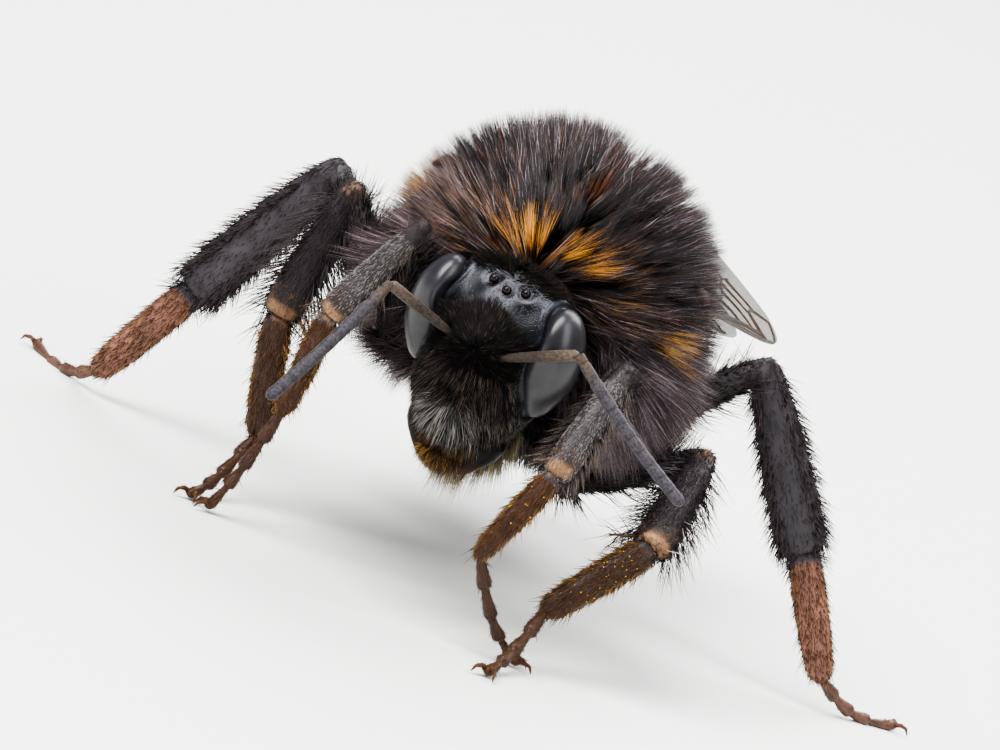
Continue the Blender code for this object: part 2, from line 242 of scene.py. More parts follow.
def eye_finish():
    """Compound eye: a clear smooth lens layer over violet-grey, in six-sided facets."""
    material, tree, shader = finish("compound_eye", Roughness=0.40, IOR=1.5, Coat_Weight=0.38,
                                    Coat_Roughness=0.27, Coat_IOR=1.5, Specular_IOR_Level=0.18)
    where = add(tree, "TexCoord").outputs["Object"]
    # Facets are 0.025 mm across; drawn at 0.045 mm so that they show as a soft texture.
    facets = cells(tree, where, 0.045, 0.15)
    color = ramp(tree, noise(tree, where, 0.9, 2.0), (0.32, "#110f11"), (0.5, "#19171b"),
                 (0.7, "#242227"))
    wire(tree, shader, Base_Color=color, Normal=relief(tree, facets, 0.25, 0.002))
    return material


def feeler_finish():
    """Antenna: grey-brown shell under a fine pale down that lightens its edges."""
    material, tree, shader = finish("downy_feeler", Roughness=0.55, IOR=1.5, Sheen_Weight=0.08,
                                    Sheen_Roughness=0.3, Specular_IOR_Level=0.12)
    down = noise(tree, add(tree, "TexCoord").outputs["Object"], 0.07, 5.0)
    color = tinted(tree, ramp(tree, down, (0.35, 0.6), (0.65, 1.5)))
    wire(tree, shader, Base_Color=color, Normal=relief(tree, down, 0.5, 0.006))
    return material


def membrane_finish():
    """Wing membrane: thin smoky chitin that lets light through, finely wrinkled."""
    material, tree, shader = finish("wing_membrane", Roughness=0.40, IOR=1.5, Alpha=0.58,
                                    Specular_IOR_Level=0.04)
    where = add(tree, "TexCoord").outputs["Object"]
    color = ramp(tree, noise(tree, where, 2.2, 4.0), (0.3, "#2a1d0f"), (0.7, "#443017"))
    wrinkle = noise(tree, where, 0.25, 3.0)
    wire(tree, shader, Base_Color=color, Normal=relief(tree, wrinkle, 0.3, 0.012))
    return material


def amber_finish(name, light, dark, roughness, gloss=0.3):
    """Thin amber shell: light comes a little way into it, so its edges glow."""
    material, tree, shader = finish(name, Roughness=roughness, IOR=1.56,
                                    Specular_IOR_Level=gloss, Subsurface_Weight=0.12,
                                    Subsurface_Radius=(0.0004, 0.0002, 0.0001),
                                    Subsurface_Scale=0.3)
    cloud = noise(tree, add(tree, "TexCoord").outputs["Object"], 0.35, 4.0)
    wire(tree, shader, Base_Color=ramp(tree, cloud, (0.3, dark), (0.7, light)),
         Normal=relief(tree, cloud, 0.3, 0.01))
    return material


HAIR = hair_finish("chitin_hair", 0.42, 0.15)
VELVET = hair_finish("velvet_hair", 0.60, 0.07)
SKIN = skin_finish("shell_under_coat", 0.5, 0.12, 0.010, 0.15)
POLISHED = skin_finish("polished_black_shell", 0.26, 0.060, 0.007, 0.18, (0.90, 0.91, 1.0, 1.0))
LEG_SHELL = skin_finish("leg_shell", 0.40, 0.09, 0.010, 0.15)
JAW = skin_finish("jaw_shell", 0.32, 0.16, 0.006, 0.09)
EYE = eye_finish()
FEELER = feeler_finish()
MEMBRANE = membrane_finish()
VEIN = amber_finish("wing_vein", "#2c1a0f", "#180e08", 0.50, 0.10)
AMBER = amber_finish("amber_scale", "#38231a", "#20140e", 0.42, 0.08)
WING_ROOT_PLATE = amber_finish("wing_root_plate", "#47301f", "#261811", 0.50, 0.06)
TONGUE = amber_finish("tongue_sheath", "#7a4422", "#3d1f10", 0.25)
OCELLUS = amber_finish("ocellus_lens", "#15100e", "#0b0808", 0.12, 0.14)
POLLEN = amber_finish("pollen", "#d6b640", "#b98a28", 0.6, 0.1)


# ---------------------------------------------------------------- making shapes
def ring(bm, centre, across, deep, sides, square=2.0, back=None):
    """One closed loop of edges; across and deep are its half axes, back the deep axis behind."""
    verts = bmesh.ops.create_circle(bm, segments=sides, radius=1.0)["verts"]
    for vert in verts:
        x, y = (math.copysign(abs(part) ** (2 / square), part) for part in vert.co.xy)
        behind = back if back is not None and y > 0 else deep
        vert.co = Vector(centre) + Vector(across) * x + Vector(behind) * y
    return list({edge for vert in verts for edge in vert.link_edges})


def skin_over(bm, rings):
    """Bridge the rings in turn and close both ends."""
    for first, second in zip(rings, rings[1:]):
        bmesh.ops.bridge_loops(bm, edges=first + second)
    for end in (rings[0], rings[-1]):
        bmesh.ops.edgeloop_fill(bm, edges=end)


def between(rows, share):
    """A smooth row between the rows of a table, share 0 to 1 along it."""
    place_in = share * (len(rows) - 1)
    low = min(int(place_in), len(rows) - 2)
    t = place_in - low
    a, b, c, d = (np.array(rows[min(max(low + k, 0), len(rows) - 1)]) for k in (-1, 0, 1, 2))
    return b + 0.5 * t * (c - a + t * (2 * a - 5 * b + 4 * c - d + t * (3 * (b - c) + d - a)))


def row_mm(obj):
    """A piece's vertices in millimetres."""
    co = np.empty(len(obj.data.vertices) * 3)
    obj.data.vertices.foreach_get("co", co)
    return co.reshape(-1, 3) / MM


def facing_of(obj):
    """The way each vertex of a piece faces."""
    facing = np.empty(len(obj.data.vertices) * 3)
    obj.data.vertex_normals.foreach_get("vector", facing)
    return facing.reshape(-1, 3)


def into(matrix, points, direction=False):
    """Points or directions brought from the row frame into a frame of the body."""
    inverse = np.array(matrix.inverted())
    moved = points @ inverse[:3, :3].T
    return moved if direction else moved + inverse[:3, 3]


def out_of(matrix, points, direction=False):
    """The reverse of into: brought to the row frame."""
    full = np.array(matrix)
    moved = points @ full[:3, :3].T
    return moved if direction else moved + full[:3, 3]


def paint(obj, colors):
    """Give each vertex its own tint."""
    layer = obj.data.color_attributes.new(name="Tint", type="FLOAT_COLOR", domain="POINT")
    rgba = np.ones((len(colors), 4))
    rgba[:, :3] = np.clip(colors, 0, 1)
    layer.data.foreach_set("color", rgba.ravel())


def link(name, data):
    """Put a new object with this mesh, light or camera in the scene."""
    obj = bpy.data.objects.new(name, data)
    bpy.context.collection.objects.link(obj)
    return obj


def place(name, bm, material, matrix, nodes=()):
    """Make a finished piece: its mesh in metres in the row frame, riding on the body."""
    bmesh.ops.transform(bm, matrix=Matrix.Scale(MM, 4) @ matrix, verts=bm.verts)
    bmesh.ops.recalc_face_normals(bm, faces=bm.faces[:])
    mesh = bpy.data.meshes.new(name)
    bm.to_mesh(mesh)
    bm.free()
    mesh.shade_smooth()
    mesh.materials.append(material)
    obj = link(name, mesh)
    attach(obj, "root")
    if nodes:
        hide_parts(*nodes)
    return obj


def ellipsoid(half, around=40, up=28, centre=(0, 0, 0)):
    bm = bmesh.new()
    bmesh.ops.create_uvsphere(bm, u_segments=around, v_segments=up, radius=1.0)
    bmesh.ops.scale(bm, vec=half, verts=bm.verts)
    bmesh.ops.translate(bm, vec=centre, verts=bm.verts)
    return bm


def tube(bm, path, radii, sides=10):
    """A closed rod along a path of points, with a radius at each."""
    rings = []
    for index, (point, radius) in enumerate(zip(path, radii)):
        ahead = Vector(path[min(index + 1, len(path) - 1)]) - Vector(path[max(index - 1, 0)])
        run = ahead.normalized()
        across = run.cross(Vector((0.13, 0.97, 0.21))).normalized()
        rings.append(ring(bm, point, across * radius, run.cross(across) * radius, sides))
    skin_over(bm, rings)


def smooth_step(low, high, value):
    share = np.clip((value - low) / (high - low), 0, 1)
    return share * share * (3 - 2 * share)


# ---------------------------------------------------------------- hair
def roots_on(obj, count, rng):
    """Points spread evenly over a piece, and the way its surface faces there."""
    mesh = obj.data
    mesh.calc_loop_triangles()
    corners = np.empty(len(mesh.loop_triangles) * 3, dtype=np.int64)
    mesh.loop_triangles.foreach_get("vertices", corners)
    corners = corners.reshape(-1, 3)
    co = row_mm(obj)
    facing = facing_of(obj)
    a, b, c = (co[corners[:, k]] for k in range(3))
    area = np.linalg.norm(np.cross(b - a, c - a), axis=1)
    chosen = rng.choice(len(area), size=count, p=area / area.sum())
    s, t = rng.random(count), rng.random(count)
    flip = s + t > 1
    s[flip], t[flip] = 1 - s[flip], 1 - t[flip]
    weights = np.stack([1 - s - t, s, t], axis=1)[:, :, None]
    root = (co[corners[chosen]] * weights).sum(axis=1)
    normal = (facing[corners[chosen]] * weights).sum(axis=1)
    return root, unit(normal)


def rows_of(*parts):
    """Vectors from their x, y and z; a single number is the same for all of them."""
    return np.stack(np.broadcast_arrays(*parts), axis=1)


def unit(vectors):
    return vectors / np.maximum(np.linalg.norm(vectors, axis=1, keepdims=True), 1e-9)


def tangent(vectors, normal):
    return unit(vectors - (vectors * normal).sum(axis=1, keepdims=True) * normal)


def lean(normal, lie, lift, rng, spread=0.14):
    """Aim of each hair: it lies along the coat and stands off the skin by the lift, in degrees."""
    angle = np.radians(lift)[:, None] if np.ndim(lift) else math.radians(lift)
    aim = normal * np.sin(angle) + tangent(lie, normal) * np.cos(angle)
    return unit(aim + rng.normal(0, spread, aim.shape))


def gather(root, aim, length, share, spacing, rng, toss):
    """Draw the tips of neighbouring hairs together into loose tufts, each tossed its own way.

    Also gives a number for each hair that its whole tuft shares, about 0 and of size 1.
    """
    number = max(8, int(len(root) / spacing))
    centres = rng.choice(len(root), number, replace=False)
    tree = KDTree(number)
    for index, centre in enumerate(centres):
        tree.insert(root[centre], index)
    tree.balance()
    own = np.array([tree.find(point)[1] for point in root])
    middle = centres[own]
    tossed = unit(aim[middle] + rng.normal(0, toss, (number, 3))[own])
    goal = root[middle] + tossed * length[middle][:, None]
    tip = root + aim * length[:, None]
    tip = tip + (goal - tip) * share
    return unit(tip - root), rng.normal(0, 1, number)[own].clip(-2, 2)


def strands(name, root, aim, length, width, low, high, uv, slot, curl=None, bent=True,
            material=None):
    """Join thin tapering hairs in one mesh. Each is a closed three-sided spike, bent once."""
    count = len(root)
    rng = np.random.default_rng(count)
    levels = (0.0, 0.5) if bent else (0.0,)
    side = unit(np.cross(aim, rng.normal(size=(count, 3))))
    other = np.cross(aim, side)
    length = np.broadcast_to(length, (count,))
    width = np.broadcast_to(width, (count,))
    curl = np.zeros((count, 3)) if curl is None else curl
    per_hair = 3 * len(levels) + 1
    co = np.empty((count, per_hair, 3))
    tint = np.ones((count, per_hair, 4))
    patch = np.empty((count, per_hair, 2))
    root = root - aim * ROOT_DEPTH
    for step, share in enumerate(levels + (1.0,)):
        at = root + aim * (length * share)[:, None] + curl * (length * share ** 2)[:, None]
        color = low + (high - low) * share ** 1.3
        corners = 3 if step < len(levels) else 1
        for corner in range(corners):
            spot = step * 3 + corner
            angle = corner * 2 * math.pi / 3
            swell = (width / 2 * (1 - 0.3 * share))[:, None] if corners == 3 else 0.0
            co[:, spot] = at + (side * math.cos(angle) + other * math.sin(angle)) * swell
            tint[:, spot, :3] = color
            patch[:, spot, 0] = uv[:, 0] + PATCH * corner / 2
            patch[:, spot, 1] = uv[:, 1] + PATCH * share
    faces = [(0, 2, 1)]
    for step in range(len(levels) - 1):
        a = step * 3
        for k in range(3):
            n = (k + 1) % 3
            faces += [(a + k, a + n, a + 3 + n), (a + k, a + 3 + n, a + 3 + k)]
    last = (len(levels) - 1) * 3
    faces += [(last + k, last + (k + 1) % 3, per_hair - 1) for k in range(3)]
    index = (np.arange(count)[:, None, None] * per_hair + np.array(faces)[None]).reshape(-1)
    mesh = bpy.data.meshes.new(name)
    mesh.vertices.add(count * per_hair)
    mesh.vertices.foreach_set("co", (co * MM).ravel())
    mesh.loops.add(len(index))
    mesh.loops.foreach_set("vertex_index", index)
    mesh.polygons.add(len(index) // 3)
    mesh.polygons.foreach_set("loop_start", np.arange(0, len(index), 3))
    layer = mesh.uv_layers.new(name="OFBake")
    layer.data.foreach_set("uv", np.clip(patch, 0, 0.999).reshape(-1, 2)[index].ravel())
    mesh.update(calc_edges=True)
    mesh.validate()
    mesh.shade_smooth()
    mesh.materials.append(material or HAIR)
    obj = link(name, mesh)
    paint(obj, tint.reshape(-1, 4)[:, :3])
    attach(obj, "root")
    return obj


def chosen_strands(name, chosen, hairs, slot):
    """Straight hairs for one region, from the values that strands takes for all of them."""
    strands(name, *(part[chosen] for part in hairs), slot, bent=False)


def vary(colors, rng, amount=0.25):
    """Each hair a little lighter or darker than its neighbours, and none bleached."""
    varied = colors * np.exp(rng.normal(0, amount, (len(colors), 1)))
    return varied * np.minimum(1, BRIGHTEST / varied.max(axis=1, keepdims=True))


def unwrap_round(local, axis, low, high):
    """Place of each root on an unwrap of its skin, rolled off around one axis."""
    a, b = [k for k in range(3) if k != axis]
    around = np.arctan2(local[:, a], local[:, b]) / (2 * math.pi) + 0.5
    along = (local[:, axis] - low) / (high - low)
    return np.clip(np.stack([around, along], axis=1), 0, 1 - PATCH)


# ---------------------------------------------------------------- trunk
def swelling(along):
    """Half size of the abdomen as a share of its largest, from the waist (0) to the tip (1)."""
    if along < ABDOMEN_WIDEST:
        return math.sqrt(1 - 0.80 * ((ABDOMEN_WIDEST - along) / ABDOMEN_WIDEST) ** 2.4)
    reach = (along - ABDOMEN_WIDEST) / (1 - ABDOMEN_WIDEST)
    return max(0.0, 1 - reach ** 2.3) ** 0.62


def abdomen_half(along):
    share = swelling(along)
    return ((ABDOMEN_HALF[0] - ABDOMEN_INSET) * share, (ABDOMEN_HALF[1] - ABDOMEN_INSET) * share)


def trunk_skin():
    """One skin from neck to tail tip; the abdomen's plates overlap like roof tiles."""
    bm = bmesh.new()
    sides = 72
    rings = []
    wide, long_half, top = THORAX_SKIN
    for step in range(28):
        angle = math.radians(7 + step * 5.3)
        share = math.sin(angle)
        rings.append(ring(bm, (0, -long_half * math.cos(angle), 0), (wide * share, 0, 0),
                          (0, 0, BELLY_SKIN * share), sides, back=(0, 0, top * share)))
    for y, z, width, height in ((3.35, -0.55, 1.15, 1.0), (3.65, -0.95, 0.9, 0.75),
                                (3.9, -1.2, 0.95, 0.75)):
        rings.append(ring(bm, (0, y, z), (width, 0, 0), (0, 0, height), sides))
    for first, last in zip(SEGMENT_ENDS, SEGMENT_ENDS[1:]):
        steps = 9
        for step in range(steps):
            part = step / (steps - 1)
            along = first + (last - first) * (0.01 + 0.98 * part)
            wide, tall = abdomen_half(min(along, 0.985))
            lip = 1 + 0.03 * part ** 3 - 0.008
            centre = DROOP @ Vector((0, along * ABDOMEN_LENGTH * 0.975, 0))
            up = DROOP.to_3x3() @ Vector((0, 0, tall * lip))
            rings.append(ring(bm, centre, (wide * lip, 0, 0), up, sides, 2.1))
    skin_over(bm, rings)
    nodes = ["thorax"] + ["abdomen_" + str(number) for number in range(1, 7)]
    return place("trunk_skin", bm, SKIN, BODY, nodes)


def seam_at(y):
    """Place across the body of the parting of the pile, from the neck to the waist."""
    return np.interp(y, (-0.95, -0.60, -0.10, 1.0), (-0.08, 0.03, 0.09, 0.10))


def thorax_tints(local, draw=None):
    """Root and tip colour of the coat at places on the thorax, on its own axes.

    With a draw for each hair, hairs of two colours mix where one marking passes into another.
    """
    x, y, z = unit(local).T
    side = np.abs(x)
    low = np.tile(tone("#090706"), (len(x), 1))
    high = np.tile(tone("#150e10"), (len(x), 1))

    def blend(share, root, tip, mixed=True):
        nonlocal low, high
        share = np.clip(share, 0, 1)[:, None]
        if draw is not None and mixed:
            share = (draw[:, None] < share) * 1.0
        low = low + (tone(root) - low) * share
        high = high + (tone(tip) - high) * share

    # Flanks are greyer and paler tipped than the back.
    flank = smooth_step(0.35, -0.25, z) * smooth_step(0.1, 0.5, side)
    blend(flank, "#0f0b0d", "#52454a", mixed=False)
    shoulder = ((x + 0.72) / 0.26) ** 2 + ((z - 0.28) / 0.24) ** 2
    blend(0.5 * smooth_step(1.4, 0.5, shoulder) * (y < 0), "#17110f", "#6d5c58")
    blend(smooth_step(-0.35, -0.7, z), "#14100e", "#4f4239", mixed=False)

    def spot(centre, half):
        return sum(((part - c) / h) ** 2 for part, c, h in zip((x, y, z), centre, half))

    # The collar is browner beside the two golden patches, which flank the parting.
    for centre in ((0.34, -0.86, 0.30), (-0.46, -0.82, 0.26)):
        blend(0.16 * smooth_step(1.6, 0.2, spot(centre, (0.24, 0.24, 0.20))), "#1d120b", "#7a5632")
    for centre, half in (((-0.11, -0.94, 0.31), (0.065, 0.14, 0.085)),
                         ((0.05, -0.93, 0.36), (0.10, 0.14, 0.05))):
        off = spot(centre, half)
        blend(0.55 * smooth_step(3.4, 1.4, off), "#2c1809", "#7e5027")
        blend(smooth_step(1.5, 0.3, off), "#3f230a", "#cf8e30")
    # A rusty streak runs back along the parting.
    streak = np.exp(-((x - seam_at(y)) / 0.026) ** 2)
    streak *= smooth_step(-0.72, -0.66, y)
    streak *= smooth_step(-0.50, -0.58, y)
    blend(0.8 * streak * (z > 0.3), "#1c0f09", "#7a431d")
    # Golden tufts sit under the wing bases.
    for share, centre, half in ((0.75, (0.80, -0.57, 0.20), (0.13, 0.13, 0.06)),
                                (0.60, (-0.90, -0.30, 0.30), (0.13, 0.20, 0.10))):
        blend(share * smooth_step(1.5, 0.4, spot(centre, half)), "#54320f", "#c79450")
    return low, high


BANDS = ((0.0, 0.13, "#17110e", "#3a2c24"), (0.13, 0.36, "#4a3116", "#b58d48"),
         (0.36, 0.56, "#0f0b0a", "#2b201b"), (0.56, 1.01, "#6f6253", "#ddd0b8"))


def abdomen_tints(local, draw=0.5):
    """The bands are on the back and sides; the plates underneath are dark throughout."""
    along = local[:, 1] / ABDOMEN_LENGTH + 0.012 * np.sin(local[:, 0] * 3.1) + 0.09 * (draw - 0.5)
    tall = ABDOMEN_HALF[1] * np.array([swelling(min(max(part, 0.0), 0.97)) for part in along])
    under = smooth_step(0.15, -0.45, local[:, 2] / tall + 0.5 * (draw - 0.5))
    low = np.tile(tone(BANDS[0][2]), (len(along), 1))
    high = np.tile(tone(BANDS[0][3]), (len(along), 1))
    for first, _, root, tip in BANDS[1:]:
        share = smooth_step(first - 0.015, first + 0.015, along)[:, None]
        low = low + (tone(root) - low) * share
        high = high + (tone(tip) - high) * share
    low = low + (tone("#100c0a") - low) * under[:, None]
    high = high + (tone("#2b211b") - high) * under[:, None]
    return low, high


def paint_trunk(trunk):
    local = into(BODY, row_mm(trunk))
    low, high = thorax_tints(local)
    rear_low, rear_high = abdomen_tints(into(ABDOMEN, row_mm(trunk)))
    rear = smooth_step(3.3, 4.0, local[:, 1])[:, None]
    shell = low + (high - low) * 0.12
    rear_shell = rear_low + (rear_high - rear_low) * 0.1
    paint(trunk, (shell + (rear_shell - shell) * rear) * 0.4)


HUB = (-0.02, -0.985, 0.10)      # the pile spreads from here, behind the crown of the head


def thorax_lie(local, normal):
    """How the pile lies: it spreads from behind the head, up over the back and down the flanks."""
    x, y, z = unit(local).T
    off_seam = x - seam_at(y)
    parting = np.exp(-(off_seam / 0.16) ** 2) * smooth_step(0.45, 0.6, z)
    flank = smooth_step(0.35, -0.2, z)
    near = smooth_step(0.62, 0.20, np.linalg.norm(unit(local) - unit(np.array([HUB])), axis=1))
    lie = tangent(np.tile(-np.array(HUB), (len(x), 1)), normal)
    away = np.where(off_seam > 0, 0.5 * parting + 0.9 * near, -0.4 * parting - 0.05 * near)
    lie = lie + rows_of(away, 0.0, -0.7 * flank)
    lift = 62 - 6 * parting - 26 * near - 18 * flank
    return lie, lift


def within_thorax(root, aim, length, slack):
    """Shorten hairs that would pass the outline of the solid by more than a little."""
    tip = into(BODY, root + aim * length[:, None])
    half = np.tile(THORAX_HALF, (len(tip), 1))
    half[tip[:, 2] < 0, 2] = THORAX_BELLY
    over = np.sqrt(((tip / half) ** 2).sum(axis=1))
    return np.where(over > slack, length * (1 - (over - slack) * 3.0), length)


def thorax_coat(trunk):
    rng = np.random.default_rng(11)
    root, normal = roots_on(trunk, THORAX_HAIRS, rng)
    local = into(BODY, root)
    keep = (local[:, 1] < 3.3) & ~((local[:, 1] < -2.6) & (local[:, 2] < 0.6)
                                   & (np.abs(local[:, 0]) < 1.3))
    direction = unit(local)
    thin = np.where(direction[:, 2] < -0.5, 0.35, 1.0)
    keep &= rng.random(len(local)) < thin
    root, normal, local = root[keep], normal[keep], local[keep]
    turned = into(BODY, normal, direction=True)
    lie, lift = thorax_lie(local, turned)
    aim = out_of(BODY, lean(turned, lie, lift, rng, 0.15), direction=True)
    x, y, z = unit(local).T
    count = len(x)
    length = THORAX_HAIR[0] * rng.normal(1, 0.17, count).clip(0.4, 1.4)
    flank = smooth_step(0.20, -0.25, z) * smooth_step(0.3, 0.7, np.abs(x))
    length *= 1 + 0.15 * smooth_step(0.1, -0.3, z) + 0.55 * flank
    parting = np.exp(-((x - seam_at(y)) / 0.07) ** 2) * smooth_step(0.5, 0.7, z)
    length *= 1 - 0.32 * parting
    # A dark furrow runs between the golden collar and the pile of the back: its hairs are shorter, and
    # further on painted shade keeps their tips dark.
    furrow = np.exp(-((z - 0.53 - 0.35 * x) / 0.05) ** 2) * smooth_step(-0.14, -0.02, x)
    furrow *= smooth_step(0.42, 0.30, x) * (y < -0.4)
    length *= 1 - 0.35 * furrow
    # A few guard hairs stand clear of the tufts.
    guard = rng.random(count) < 0.03
    drawn, mood = gather(root, aim, length, 0.66, 40, rng, 0.26)
    aim = np.where(guard[:, None], aim, drawn)
    # The wing bases stand clear of the pile.
    for sign in (1, -1):
        off = np.linalg.norm(unit(local) - np.array([0.87 * sign, 0.04, 0.48]), axis=1)
        length *= 1 - 0.6 * np.exp(-(off / 0.17) ** 2)
    length = within_thorax(root, aim, length * (1 + 0.15 * mood), 1.03 + 0.25 * flank)
    length *= np.where(guard, 1.12, 1.0)
    low, high = thorax_tints(local, rng.random(count))
    # Some hairs carry a copper or pale tip of their own.
    # No hair in the furrow gets one: painted shade keeps the crease dark.
    dark = (high[:, 0] < 0.10) & (furrow < 0.3)
    copper = dark & (rng.random(count) < 0.06)
    pale = dark & (rng.random(count) < 0.05 + 0.30 * flank)
    high[copper] = tone("#5e3a22")
    high[pale] = tone("#93868c")
    golden = high[:, 0] > 0.3
    # Painted shade: the tips of the pile are darkened over the front of the back.
    shade = smooth_step(-0.35, -0.6, y) * smooth_step(0.25, 0.4, z) * smooth_step(-0.35, -0.2, x)
    high[~golden] *= (1 - 0.4 * shade)[~golden, None]
    high = high * np.exp(np.where(golden, 0.08, 0.28) * mood)[:, None]
    low, high = vary(low, rng), vary(high, rng, 0.42)
    width = THORAX_HAIR[1] * rng.normal(1, 0.15, count).clip(0.6, 1.5)
    width = width * np.where(guard, 1.15, 1 + 0.35 * flank)
    uv = unwrap_round(local, 1, -THORAX_HALF[1], WAIST)
    parts = {"crown_front": (z > 0.45) & (y < -0.15), "crown_rear": (z > 0.45) & (y >= -0.15),
             "left": (z <= 0.45) & (x > 0), "right": (z <= 0.45) & (x <= 0)}
    hairs = (root, aim, length, width, low, high, uv)
    for part, chosen in parts.items():
        chosen_strands("thorax_coat_" + part, chosen, hairs, "dark_coat")


def abdomen_coat(trunk):
    rng = np.random.default_rng(12)
    root, normal = roots_on(trunk, ABDOMEN_HAIRS, rng)
    body = into(BODY, root)
    local = into(ABDOMEN, root)
    keep = (local[:, 1] > 0.15) & (body[:, 1] > 3.6)
    keep &= rng.random(len(local)) < np.where(local[:, 2] < -1.2, 0.4, 1.0)
    root, normal, local = root[keep], normal[keep], local[keep]
    lie = out_of(ABDOMEN, np.tile([0.0, 1.0, -0.12], (len(root), 1)), direction=True)
    along = local[:, 1] / ABDOMEN_LENGTH
    aim = lean(normal, lie, 34 + 10 * smooth_step(0.3, 0.0, along), rng, 0.14)
    length = ABDOMEN_HAIR[0] * rng.normal(1, 0.14, len(root)).clip(0.5, 1.4)
    length *= 1 - 0.25 * smooth_step(0.85, 1.0, along)
    aim = gather(root, aim, length, 0.42, 20, rng, 0.12)[0]
    low, high = abdomen_tints(local, rng.random(len(local)))
    low, high = vary(low, rng, 0.2), vary(high, rng, 0.25)
    uv = unwrap_round(local, 1, 0.0, ABDOMEN_LENGTH)
    width = ABDOMEN_HAIR[1] * rng.normal(1, 0.15, len(root)).clip(0.6, 1.5)
    hairs = (root, aim, length, width, low, high, uv)
    for part, first, last, slot in (("front", -1, 0.36, "golden_coat"),
                                    ("middle", 0.36, 0.56, "dark_coat"),
                                    ("tail", 0.56, 2, "pale_coat")):
        chosen_strands("abdomen_coat_" + part, (along >= first) & (along < last), hairs, slot)


# ---------------------------------------------------------------- head
def eye_waist(side, height):
    """How much narrower an eye is than a plain ball: scooped inside its upper half."""
    scoop = 0.62 * np.exp(-((height - 0.40) / 0.42) ** 2)
    return np.where(side < 0, 1 - scoop, 1 - 0.14 * smooth_step(-0.2, -0.8, height))


def eye_metric(points):
    """How far points on the head's axes are from each eye's middle; 1 is on its surface."""
    found = np.full(len(points), 9.0)
    for sign in (1, -1):
        off = (points - np.array([EYE_CENTRE[0] * sign, *EYE_CENTRE[1:]])) / np.array(EYE_HALF)
        off[:, 0] /= eye_waist(off[:, 0] * sign, off[:, 2].clip(-1, 1))
        found = np.minimum(found, np.sqrt((off ** 2).sum(axis=1)))
    return found


OCELLI = ((0.0, -0.60, 1.98), (0.47, -0.47, 2.08), (-0.47, -0.47, 2.08))
OCELLUS_RADIUS = 0.13


def head_relief(points):
    """Height of the face's forms over the plain capsule: shield, sutures, sockets, dents."""
    x, y, z = points.T
    front = smooth_step(0.0, -0.5, y)
    shield = np.sqrt((x / 0.86) ** 2 + ((z + 1.30) / 0.80) ** 2)
    rise = 0.15 * smooth_step(1.0, 0.45, shield) * front
    rise -= 0.05 * np.exp(-((shield - 1.03) / 0.05) ** 2) * front
    for sign in (1, -1):
        socket = np.linalg.norm(points - np.array([SOCKET[0] * sign, *SOCKET[1:]]), axis=1)
        rise += 0.06 * np.exp(-((socket - 0.27) / 0.06) ** 2) - 0.10 * np.exp(-(socket / 0.16) ** 2)
        dent = np.linalg.norm(points - np.array([0.85 * sign, -0.75, 1.75]), axis=1)
        rise -= 0.05 * np.exp(-(dent / 0.35) ** 2)
    groove = 0.035 * np.exp(-(x / 0.05) ** 2) * smooth_step(0.7, 1.0, z)
    rise -= groove * smooth_step(1.85, 1.6, z) * front
    metric = eye_metric(points)
    rim = 0.05 * np.exp(-((metric - 1.17) / 0.07) ** 2)
    rise += rim - 0.06 * np.exp(-((metric - 1.04) / 0.04) ** 2)
    for spot in OCELLI:
        away = np.linalg.norm(points - np.array(spot), axis=1)
        rise -= 0.045 * smooth_step(0.30, 0.14, away)
    return rise


def head_levels():
    """Height, half width and reach of face and back at each ring of the head, from the mouth up."""
    levels = 92
    rows = []
    for step in range(levels + 1):
        height, half_width, face, back = between(HEAD_RINGS, step / levels)
        rows.append((height, half_width - HEAD_INSET, face - HEAD_INSET, back - HEAD_INSET))
    # The mouth and the crown close in small domes.
    first, last = rows[0], rows[-1]
    middle = (first[2] - first[3]) / 2
    for index, (share, drop) in enumerate(((0.35, 0.16), (0.7, 0.10), (0.9, 0.03))):
        rows.insert(index, (first[0] - drop, first[1] * share, middle + (first[2] - middle) * share,
                            -middle + (first[3] + middle) * share))
    for share, lift in ((0.85, 0.03), (0.55, 0.07), (0.2, 0.09)):
        rows.append((last[0] + lift, last[1] * share, last[2] + 0.05 * (1 - share), last[3] * share))
    return rows


def head_skin():
    bm = bmesh.new()
    rings = [ring(bm, (0, 0, height), (half_width, 0, 0), (0, face, 0), 160, 2.25, back=(0, back, 0))
             for height, half_width, face, back in head_levels()]
    skin_over(bm, rings)
    bmesh.ops.recalc_face_normals(bm, faces=bm.faces[:])
    bm.normal_update()
    points = np.array([vert.co for vert in bm.verts])
    for vert, rise in zip(bm.verts, head_relief(points)):
        vert.co += vert.normal * rise
    tree = BVHTree.FromBMesh(bm)
    head = place("head_shell", bm, POLISHED, HEAD, ("head",))
    return head, tree


def paint_head(head):
    local = into(HEAD, row_mm(head))
    colors = np.tile(tone("#050506"), (len(local), 1))
    # Painted reflection: a blue-grey sheen of the sky is painted on the shell beside the top of each
    # eye, in soft streaks.
    painted_sky_reflection = smooth_step(1.85, 1.15, eye_metric(local)) * smooth_step(0.7, 1.3, local[:, 2])
    painted_sky_reflection *= 0.75 + 0.25 * np.sin(local[:, 0] * 9 + 4 * np.sin(local[:, 2] * 7))
    painted_sky_reflection *= smooth_step(0.3, -0.1, local[:, 1])
    colors = colors + (tone("#1a1c21") - colors) * painted_sky_reflection[:, None]
    low = smooth_step(-2.0, -2.5, local[:, 2])[:, None]
    paint(head, colors + (tone("#2e1a10") - colors) * low)


